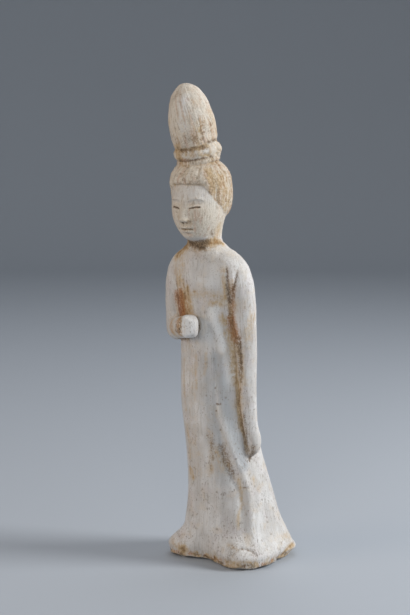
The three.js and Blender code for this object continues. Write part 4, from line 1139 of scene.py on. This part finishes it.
def age(zones, soil):
    """The warmer slip of the bare skin, and how speckled the plain dress is, most of all low down."""
    z = zones.head[:, 2]
    skin = (1 - zones.hair) * rise(*HEAD_STARTS, zones.high) * rise(254, 250, zones.high)
    lay_colour(soil, "aged", skin * (0.45 + 0.4 * rise(8, -4, z)))
    plain = (1 - skin) * (1 - zones.hair) * (1 - zones.knot) * (1 - zones.cord)
    low = rise(110, 70, zones.high) + 0.6 * rise(4, -4, zones.left) * rise(130, 110, zones.high)
    lay_colour(soil, "speckled", plain * (0.45 + 0.6 * np.minimum(low, 1)))


def carving(p):
    """How far the fine carving stands out at each point, the soil, painted shade and painted light on
    it, and its brush marks.
    """
    # soil holds the soils and tints, and also the painted shade and painted light.
    soil = {kind: np.zeros(len(p)) for kind in SOILS_AND_PAINTED_LIGHT}
    zones = Zones(p)
    lay = brushed(p, zones)
    out = carved_lines(p, soil) + dress(p, zones, soil) + combed_hair(p, zones, lay, soil)
    out += bound_knot(p, zones, lay, soil) + tied_cord(p, zones, soil) + closed_hand(p, zones, soil)
    face_soil_and_shade(zones, soil)
    age(zones, soil)
    return out, soil, lay


# The clay's mesh: how often it is averaged to find its fine and its broad hollows, between which
# heights the carving fades out above the flat underside, how far the hem is worn up, and the
# most soil that a point holds.
NEAR_ROUNDS = 5
FAR_ROUNDS = 26
UNDERSIDE = (0.15, 1.2)
WORN_UP = 1.1
SOIL_MOST = 2


def new_object(name, data):
    made = bpy.data.objects.new(name, data)
    bpy.context.scene.collection.objects.link(made)
    return made


def shade_smooth(mesh):
    for face in mesh.polygons:
        face.use_smooth = True


def plain_copy(source):
    """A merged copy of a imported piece's mesh, whose own mesh is left alone."""
    bm = bmesh.new()
    bm.from_mesh(source.data)
    bmesh.ops.remove_doubles(bm, verts=bm.verts[:], dist=0.001 * MM)
    mesh = bpy.data.meshes.new("attendant_clay")
    bm.to_mesh(mesh)
    bm.free()
    return new_object("attendant_clay", mesh)


def remesh(piece, voxel):
    """Lays an even net over the piece."""
    change = piece.modifiers.new("net", "REMESH")
    change.mode = "VOXEL"
    change.voxel_size = voxel * MM
    ready = piece.evaluated_get(bpy.context.evaluated_depsgraph_get())
    mesh = bpy.data.meshes.new_from_object(ready)
    piece.modifiers.clear()
    old = piece.data
    piece.data = mesh
    bpy.data.meshes.remove(old)


def points_of(mesh):
    """The mesh's points, in millimetres."""
    flat = np.empty(len(mesh.vertices) * 3)
    mesh.vertices.foreach_get("co", flat)
    return flat.reshape(-1, 3) / MM


def move_points(mesh, p):
    mesh.vertices.foreach_set("co", (p * MM).ravel())
    mesh.update()


def cut_finer(mesh, wanted):
    """Halves the spacing of the net where wanted says so for the middle of a face."""
    bm = bmesh.new()
    bm.from_mesh(mesh)
    middles = np.array([face.calc_center_median() for face in bm.faces]) / MM
    chosen = wanted(middles)
    edges = {edge for face, take in zip(bm.faces, chosen) if take for edge in face.edges}
    bmesh.ops.subdivide_edges(bm, edges=list(edges), cuts=1, use_grid_fill=True)
    bmesh.ops.triangulate(bm, faces=[face for face in bm.faces if len(face.verts) > 4])
    bm.to_mesh(mesh)
    bm.free()


# What is cut finer: the hanging hand, the fist and the sleeve round it, the features of the face,
# the deeper carved lines and the hem's edge.
HAND = {"side": 8, "levels": (62, 92), "near": 1.5}
FIST_NEAR = 5
FEATURES = {"front": -9, "half": 11, "levels": (-19, 4.5)}
DEEP_LINE = -0.3
LINE_NEAR = 1.8
HEM_EDGE = {"high": 4.5, "inner": 22}


def head_and_hands(p):
    low, high = HAND["levels"]
    hand = (p[:, 0] > HAND["side"]) & (p[:, 2] > low) & (p[:, 2] < high)
    hand = hand & (limb(p, LEFT_LINE)[0] < HAND["near"])
    return (p[:, 2] > FINE_ABOVE) | (fist(p) < FIST_NEAR) | hand


def features(p):
    x, y, z = local(p, HEAD).T
    low, high = FEATURES["levels"]
    return (y < FEATURES["front"]) & (np.abs(x) < FEATURES["half"]) & (z > low) & (z < high)


def carved_places(p):
    low = (p[:, 2] < FINE_ABOVE) & ~head_and_hands(p)
    gap = np.full(len(p), FAR_AWAY)
    for points, _, height, _ in CARVED_LINES.values():
        if height < DEEP_LINE:
            gap = np.minimum(gap, to_line(p, points, 2)[0])
    hem = (p[:, 2] < HEM_EDGE["high"]) & (np.hypot(p[:, 0], p[:, 1]) > HEM_EDGE["inner"])
    return low & ((gap < LINE_NEAR) | hem)


def smoothed(values, pairs, rounds):
    """Averages each point's values with its neighbours' again and again."""
    count = len(values)
    a, b = pairs.T
    share = np.bincount(a, minlength=count) + np.bincount(b, minlength=count)
    for _ in range(rounds):
        total = np.empty_like(values)
        for k in range(values.shape[1]):
            total[:, k] = np.bincount(a, values[b, k], count) + np.bincount(b, values[a, k], count)
        values = 0.5 * values + 0.5 * total / share[:, None]
    return values


def pairs_of(mesh):
    """The two ends of each edge."""
    flat = np.empty(len(mesh.edges) * 2, np.int32)
    mesh.edges.foreach_get("vertices", flat)
    return flat.reshape(-1, 2)


def lay_attribute(mesh, name, values):
    layer = mesh.attributes.new(name, "FLOAT", "POINT")
    layer.data.foreach_set("value", np.clip(values, 0, SOIL_MOST).astype(np.float32))


def carve(piece):
    """The modelled clay: the smooth form first, then the carving, then where soil has gathered."""
    remesh(piece, VOXEL)
    mesh = piece.data
    move_points(mesh, settle(points_of(mesh), FIRST_ROUNDS))
    cut_finer(mesh, head_and_hands)
    cut_finer(mesh, features)
    cut_finer(mesh, carved_places)
    p = settle(points_of(mesh), SETTLE_ROUNDS)
    out = way_out(p)[1]
    height, soil, lay = carving(p)
    height *= rise(*UNDERSIDE, p[:, 2])
    p = p + height[:, None] * out
    flat = p * (1, 1, 0)
    lift = np.maximum(grain(flat, (5.5, 5.5, 1), 13) - 0.1, 0)
    for place in WORN_HEM:
        lift = np.maximum(lift, bell(np.linalg.norm(flat - (*place, 0), axis=1), 4))
    p[:, 2] += WORN_UP * lift * rise(2.4, 0.4, p[:, 2])
    p[:, 2] = np.maximum(p[:, 2], 0)
    move_points(mesh, p)
    pairs = pairs_of(mesh)
    near = smoothed(p, pairs, NEAR_ROUNDS)
    far = smoothed(near, pairs, FAR_ROUNDS)
    fine_hollow = ((near - p) * out).sum(1)
    broad_hollow = ((far - p) * out).sum(1)
    hollow = rise(0.02, 0.22, fine_hollow) + 0.7 * rise(0.1, 0.9, broad_hollow)
    for kind, values in soil.items():
        lay_attribute(mesh, kind, values)
    layer = mesh.attributes.new("brushed", "FLOAT_VECTOR", "POINT")
    layer.data.foreach_set("vector", lay.astype(np.float32).ravel())
    lay_attribute(mesh, "hollow", hollow)
    shade_smooth(mesh)


# Colours and materials.
def hex_colour(code):
    """An sRGB hex value as linear red, green, blue and 1."""
    parts = [int(code[i:i + 2], 16) / 255 for i in (1, 3, 5)]
    return tuple(c / 12.92 if c <= 0.04045 else ((c + 0.055) / 1.055) ** 2.4 for c in parts) + (1.0,)


def add(tree, kind, inputs=None, **settings):
    """Adds a node and gives its outputs: settings are its own, inputs are values or others' outputs."""
    made = tree.nodes.new(kind)
    for name, value in settings.items():
        setattr(made, name, value)
    for name, value in (inputs or {}).items():
        if isinstance(value, bpy.types.NodeSocket):
            tree.links.new(value, made.inputs[name])
        else:
            made.inputs[name].default_value = value
    return made.outputs


def new_material(name):
    material = bpy.data.materials.new(name)
    material.use_nodes = True
    material.node_tree.nodes.clear()
    return material


# The slip's patterns: what they lie on, the size of their grains in millimetres, how many finer
# layers they hold and how rough those are. The brushed ones run with the brush or the comb. Real
# bristle marks and grains of soil are only 0.1 to 0.3 mm wide, too fine to show at this size, so
# the fibres and crumbs are drawn about 1 mm wide.
PATTERNS = {
    "clouds": ("place", 16, 2, 0.5),
    "drifts": ("place", 11, 2, 0.5),
    "patches": ("place", 7, 3, 0.55),
    "blots": ("place", 2.2, 4, 0.65),
    "crumbs": ("place", 0.9, 3, 0.7),
    "grains": ("place", 1.5, 2, 0.6),
    "flecks": ("upright", 1.0, 2, 0.5),
    "fibres": ("brushed", 1.0, 3, 0.6),
    "wide fibres": ("brushed", 3.2, 2, 0.5),
}

# Coats of colour, from the ground up: what lays the coat, where it starts and is full, how far it
# covers there, and its colour. Then how the slip bends light, and how deep its skin is.
GROUND = "#D0CCC7"
COATS = [
    ("clouds", 0.4, 0.62, 1, "#DFDDDA"),
    ("drifts", 0.5, 0.68, 0.4, "#D6CDCB"),
    ("wide fibres", 0.46, 0.66, 0.45, "#C4C2BF"),
    ("fibres", 0.52, 0.7, 0.6, "#B2ABA1"),
    ("patches", 0.5, 0.72, 0.5, "#D6CAB9"),
    # The next coat is bluish-grey painted shade.
    ("painted_shade", 0.1, 1.1, 0.75, "#A7ACB0"),
    ("aged", 0.1, 1, 0.85, "#D5CAB8"),
    # The pale coat is bluish white and mostly painted light: highlights on lit ridges, crests, the
    # fist's facet and the chest's and knot's lit sides, and lightening over the fist's shadow and in
    # the arm groove. On the hair it also makes small random pale flakes.
    ("pale", 0.1, 1, 0.85, "#E9E9E7"),
    ("aged pink", 0.1, 0.7, 0.5, "#C7A48C"),
    ("aged strands", 0.1, 0.7, 0.42, "#A08A72"),
    ("aged grains", 0.1, 0.7, 0.7, "#E2D9CB"),
    ("ochre", 0.05, 0.8, 0.85, "#C6AC86"),
    ("ochre", 0.6, 1.4, 0.85, "#8F6F42"),
    ("rust", 0.1, 0.8, 0.8, "#B07C50"),
    ("rust", 0.6, 1.4, 0.85, "#7A4524"),
    ("umber", 0.1, 0.9, 0.8, "#7C6750"),
    ("umber", 0.7, 1.4, 0.9, "#41352B"),
    ("specks", 0, 0.6, 0.5, "#84705A"),
    ("crumbs", 0.58, 0.68, 0.45, "#8C7F70"),
]
SLIP_IOR = 1.5
RELIEF_MM = 0.45


# A blend's inputs by number: the share of the second, the two values, and the two colours.
SHARE = 0
FIRST_VALUE = 2
SECOND_VALUE = 3
UNDER_COLOUR = 6
OVER_COLOUR = 7
COLOUR_OUT = 2


# White slip over low-fired earthenware, brushed on by hand and buried: to the eye a dry chalky
# white with faint upright brush marks, warm where it is thin, and brown where soil stays. Its
# bluish-grey coat is painted shade, and its pale coat mostly painted light.
def slipped_earthenware():
    material = new_material("brushed_white_slip_on_earthenware")
    tree = material.node_tree
    place = add(tree, "ShaderNodeTexCoord")["Object"]
    ways = {
        "place": place,
        "upright": add(tree, "ShaderNodeMapping", {"Vector": place, "Scale": (1, 1, 0.55)})["Vector"],
        "brushed": add(tree, "ShaderNodeAttribute", attribute_name="brushed")["Vector"],
    }
    signs = {}
    for name in (*SOILS_AND_PAINTED_LIGHT, "hollow"):
        signs[name] = add(tree, "ShaderNodeAttribute", attribute_name=name)["Fac"]
    for name, (way, size, detail, rough) in PATTERNS.items():
        # the brushed coordinates are in millimetres, the others in metres
        scale = 1 / size if way == "brushed" else 1 / (size * MM)
        inputs = {"Vector": ways[way], "Scale": scale, "Detail": detail, "Roughness": rough}
        signs[name] = add(tree, "ShaderNodeTexNoise", inputs)["Fac"]

    # Ochre and age are broken up by the slip's texture, rust and umber by a finer, granular one.
    both = {SHARE: 0.35, FIRST_VALUE: signs["blots"], SECOND_VALUE: signs["fibres"]}
    mixed = add(tree, "ShaderNodeMix", both)[0]
    even = {"Value": mixed, "From Min": 0.36, "From Max": 0.64, "To Min": -0.5, "To Max": 0.5}
    texture = add(tree, "ShaderNodeMapRange", even)["Result"]
    finer = {SHARE: 0.55, FIRST_VALUE: mixed, SECOND_VALUE: signs["crumbs"]}
    fine = add(tree, "ShaderNodeMix", finer)[0]
    uneven = {"Value": fine, "From Min": 0.38, "From Max": 0.6, "To Min": -0.55, "To Max": 0.5}
    granular = add(tree, "ShaderNodeMapRange", uneven)["Result"]
    breaks = (("ochre", 1.1, texture), ("rust", 1.2, granular), ("umber", 1.3, granular),
              ("aged", 0.35, texture))
    for kind, share, breaking in breaks:
        most = add(tree, "ShaderNodeMath", {0: signs[kind], 1: share}, operation="MULTIPLY")["Value"]
        live = add(tree, "ShaderNodeMath", {0: most, 1: 0.75}, operation="MINIMUM")["Value"]
        broken = {0: breaking, 1: live, 2: signs[kind]}
        signs[kind] = add(tree, "ShaderNodeMath", broken, operation="MULTIPLY_ADD")["Value"]
    for kind, share in (("ochre", 0.2), ("umber", 0.05)):
        gathered = {0: signs["hollow"], 1: share, 2: signs[kind]}
        signs[kind] = add(tree, "ShaderNodeMath", gathered, operation="MULTIPLY_ADD")["Value"]

    # A thin wash of ochre along the brush marks, specks where the dress is speckled, and strands,
    # pink and pale grains in the aged slip.
    for name, pattern, low, high, under, cover in (
            ("wash", "patches", 0.42, 0.7, "fibres", 0.18),
            ("gathered", "drifts", 0.42, 0.6, "speckled", 1.0),
            ("aged strands", "fibres", 0.5, 0.66, "aged", 0.9),
            ("aged pink", "wide fibres", 0.48, 0.66, "aged", 0.7),
            ("aged grains", "grains", 0.54, 0.64, "aged", 0.8),
            ("specks", "flecks", 0.6, 0.68, "gathered", 1)):
        shape = {"Value": signs[pattern], "From Min": low, "From Max": high, "To Max": cover}
        risen = add(tree, "ShaderNodeMapRange", shape, interpolation_type="SMOOTHSTEP")["Result"]
        laid = {0: risen, 1: signs[under]}
        signs[name] = add(tree, "ShaderNodeMath", laid, operation="MULTIPLY")["Value"]
    washed = {0: signs["ochre"], 1: signs["wash"]}
    signs["ochre"] = add(tree, "ShaderNodeMath", washed, operation="ADD")["Value"]

    colour = hex_colour(GROUND)
    for name, start, full, cover, code in COATS:
        shape = {"Value": signs[name], "From Min": start, "From Max": full, "To Max": cover}
        share = add(tree, "ShaderNodeMapRange", shape, interpolation_type="SMOOTHSTEP")["Result"]
        coat = {SHARE: share, UNDER_COLOUR: colour, OVER_COLOUR: hex_colour(code)}
        colour = add(tree, "ShaderNodeMix", coat, data_type="RGBA")[COLOUR_OUT]

    relief = signs["fibres"]
    for name, share in (("crumbs", 0.6), ("blots", 0.6), ("specks", -0.5)):
        raised = {0: signs[name], 1: share, 2: relief}
        relief = add(tree, "ShaderNodeMath", raised, operation="MULTIPLY_ADD")["Value"]
    bump = add(tree, "ShaderNodeBump", {"Height": relief, "Strength": 1.0, "Distance": RELIEF_MM * MM})
    shape = {"Value": signs["ochre"], "From Min": 0.1, "From Max": 0.9, "To Min": 0.82, "To Max": 0.95}
    shader = add(tree, "ShaderNodeBsdfPrincipled", {
        "Base Color": colour,
        "Roughness": add(tree, "ShaderNodeMapRange", shape)["Result"],
        "IOR": SLIP_IOR,
        "Specular IOR Level": 0.3,
        "Normal": bump["Normal"],
    })
    add(tree, "ShaderNodeOutputMaterial", {"Surface": shader["BSDF"]})
    return material


# Smooth seamless paper: a plain pale cool grey without gloss.
def backdrop_paper():
    material = new_material("pale_grey_backdrop_paper")
    tree = material.node_tree
    shader = add(tree, "ShaderNodeBsdfPrincipled", {
        "Base Color": hex_colour("#AEB4BB"),
        "Roughness": 0.95,
        "Specular IOR Level": 0.2,
    })
    add(tree, "ShaderNodeOutputMaterial", {"Surface": shader["BSDF"]})
    return material


# The pale floor, in metres: a round sheet whose rim curves up all round, so it has no corner.
FLOOR_FLAT = 2.2
FLOOR_CURVE = 0.9
FLOOR_WALL = 1.2
FLOOR_CURVE_STEPS = 12
FLOOR_ROUND_STEPS = 96


def floor():
    bm = bmesh.new()
    profile = [bm.verts.new((0, 0, 0)), bm.verts.new((FLOOR_FLAT, 0, 0))]
    for i in range(1, FLOOR_CURVE_STEPS + 1):
        a = math.pi / 2 * i / FLOOR_CURVE_STEPS
        spot = (FLOOR_FLAT + FLOOR_CURVE * math.sin(a), 0, FLOOR_CURVE * (1 - math.cos(a)))
        profile.append(bm.verts.new(spot))
    profile.append(bm.verts.new((FLOOR_FLAT + FLOOR_CURVE, 0, FLOOR_CURVE + FLOOR_WALL)))
    edges = [bm.edges.new(pair) for pair in zip(profile, profile[1:])]
    bmesh.ops.spin(bm, geom=profile + edges, cent=(0, 0, 0), axis=(0, 0, 1), dvec=(0, 0, 0),
                   angle=2 * math.pi, steps=FLOOR_ROUND_STEPS, use_merge=True)
    bmesh.ops.remove_doubles(bm, verts=bm.verts[:], dist=1e-5)
    bmesh.ops.recalc_face_normals(bm, faces=bm.faces[:])
    mesh = bpy.data.meshes.new("floor")
    bm.to_mesh(mesh)
    bm.free()
    shade_smooth(mesh)
    mesh.materials.append(backdrop_paper())
    sheet = new_object("floor", mesh)


# The camera, at the photograph's viewing angle: how far round from the front, its distance and
# height in metres, how far it looks down in degrees, and how far it stands aside. Its focal
# length is counted in pixels of the picture's longer side.
CAMERA_ROUND = 38
CAMERA_FAR = 0.864
CAMERA_HIGH = 0.256
CAMERA_DOWN = 6.33
CAMERA_ASIDE = 0.0187
SENSOR = 36
FOCAL_PIXELS = 1375
LONG_SIDE = 615

round_turn = math.radians(CAMERA_ROUND)
VIEW_RIGHT = Vector((math.cos(round_turn), math.sin(round_turn), 0))
VIEW_BACK = Vector((math.sin(round_turn), -math.cos(round_turn), 0))


def aimed(name, data, spot, way):
    """Puts the camera or a lamp at a spot, looking along a way."""
    made = new_object(name, data)
    made.location = spot
    made.rotation_mode = "QUATERNION"
    made.rotation_quaternion = way.to_track_quat("-Z", "Y")
    return made


def camera():
    lens = bpy.data.cameras.new("camera")
    lens.sensor_width = SENSOR
    lens.lens = SENSOR * FOCAL_PIXELS / LONG_SIDE
    lens.clip_start = 0.01
    spot = VIEW_BACK * CAMERA_FAR - VIEW_RIGHT * CAMERA_ASIDE + Vector((0, 0, CAMERA_HIGH))
    down = math.radians(CAMERA_DOWN)
    way = -VIEW_BACK * math.cos(down) - Vector((0, 0, math.sin(down)))
    bpy.context.scene.camera = aimed("camera", lens, spot, way)


# Soft studio light: each lamp's way from the figure (to the viewer's right, towards the viewer,
# up), how far off it hangs, how wide it is, its power in watts and its colour.
LAMPS = {
    "key": ((1.0, 0.15, 0.5), 1.2, 0.5, 13, "#FFFFFF"),
    "fill": ((-1.0, 0.4, 0.3), 1.4, 0.9, 5, "#FFE6CC"),
    "front": ((-0.1, 1.0, 0.45), 1.6, 0.9, 5, "#FFFFFF"),
    "top": ((0.1, -0.5, 1.0), 1.6, 1.2, 6, "#F4F7FF"),
}
LAMP_MIDDLE = Vector((0, 0, 0.15))
WORLD_GREY = "#C9CDD2"
WORLD_STRENGTH = 0.52


def light():
    for name, (way, far, wide, power, tint) in LAMPS.items():
        lamp = bpy.data.lights.new(name, "AREA")
        lamp.shape = "DISK"
        lamp.size = wide
        lamp.energy = power
        lamp.color = hex_colour(tint)[:3]
        out = (VIEW_RIGHT * way[0] + VIEW_BACK * way[1] + Vector((0, 0, way[2]))).normalized()
        made = aimed(name, lamp, LAMP_MIDDLE + out * far, -out)
        made.visible_camera = False
    world = bpy.data.worlds.new("studio")
    world.use_nodes = True
    world.node_tree.nodes.clear()
    grey = {"Color": hex_colour(WORLD_GREY), "Strength": WORLD_STRENGTH}
    sky = add(world.node_tree, "ShaderNodeBackground", grey)
    add(world.node_tree, "ShaderNodeOutputWorld", {"Surface": sky["Background"]})
    bpy.context.scene.world = world


clay = plain_copy(frame["nodes"][NODE])
carve(clay)
clay.data.materials.clear()
clay.data.materials.append(slipped_earthenware())
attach(clay, "root")
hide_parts(NODE)
floor()
camera()
light()
bpy.context.scene.view_settings.view_transform = "Standard"
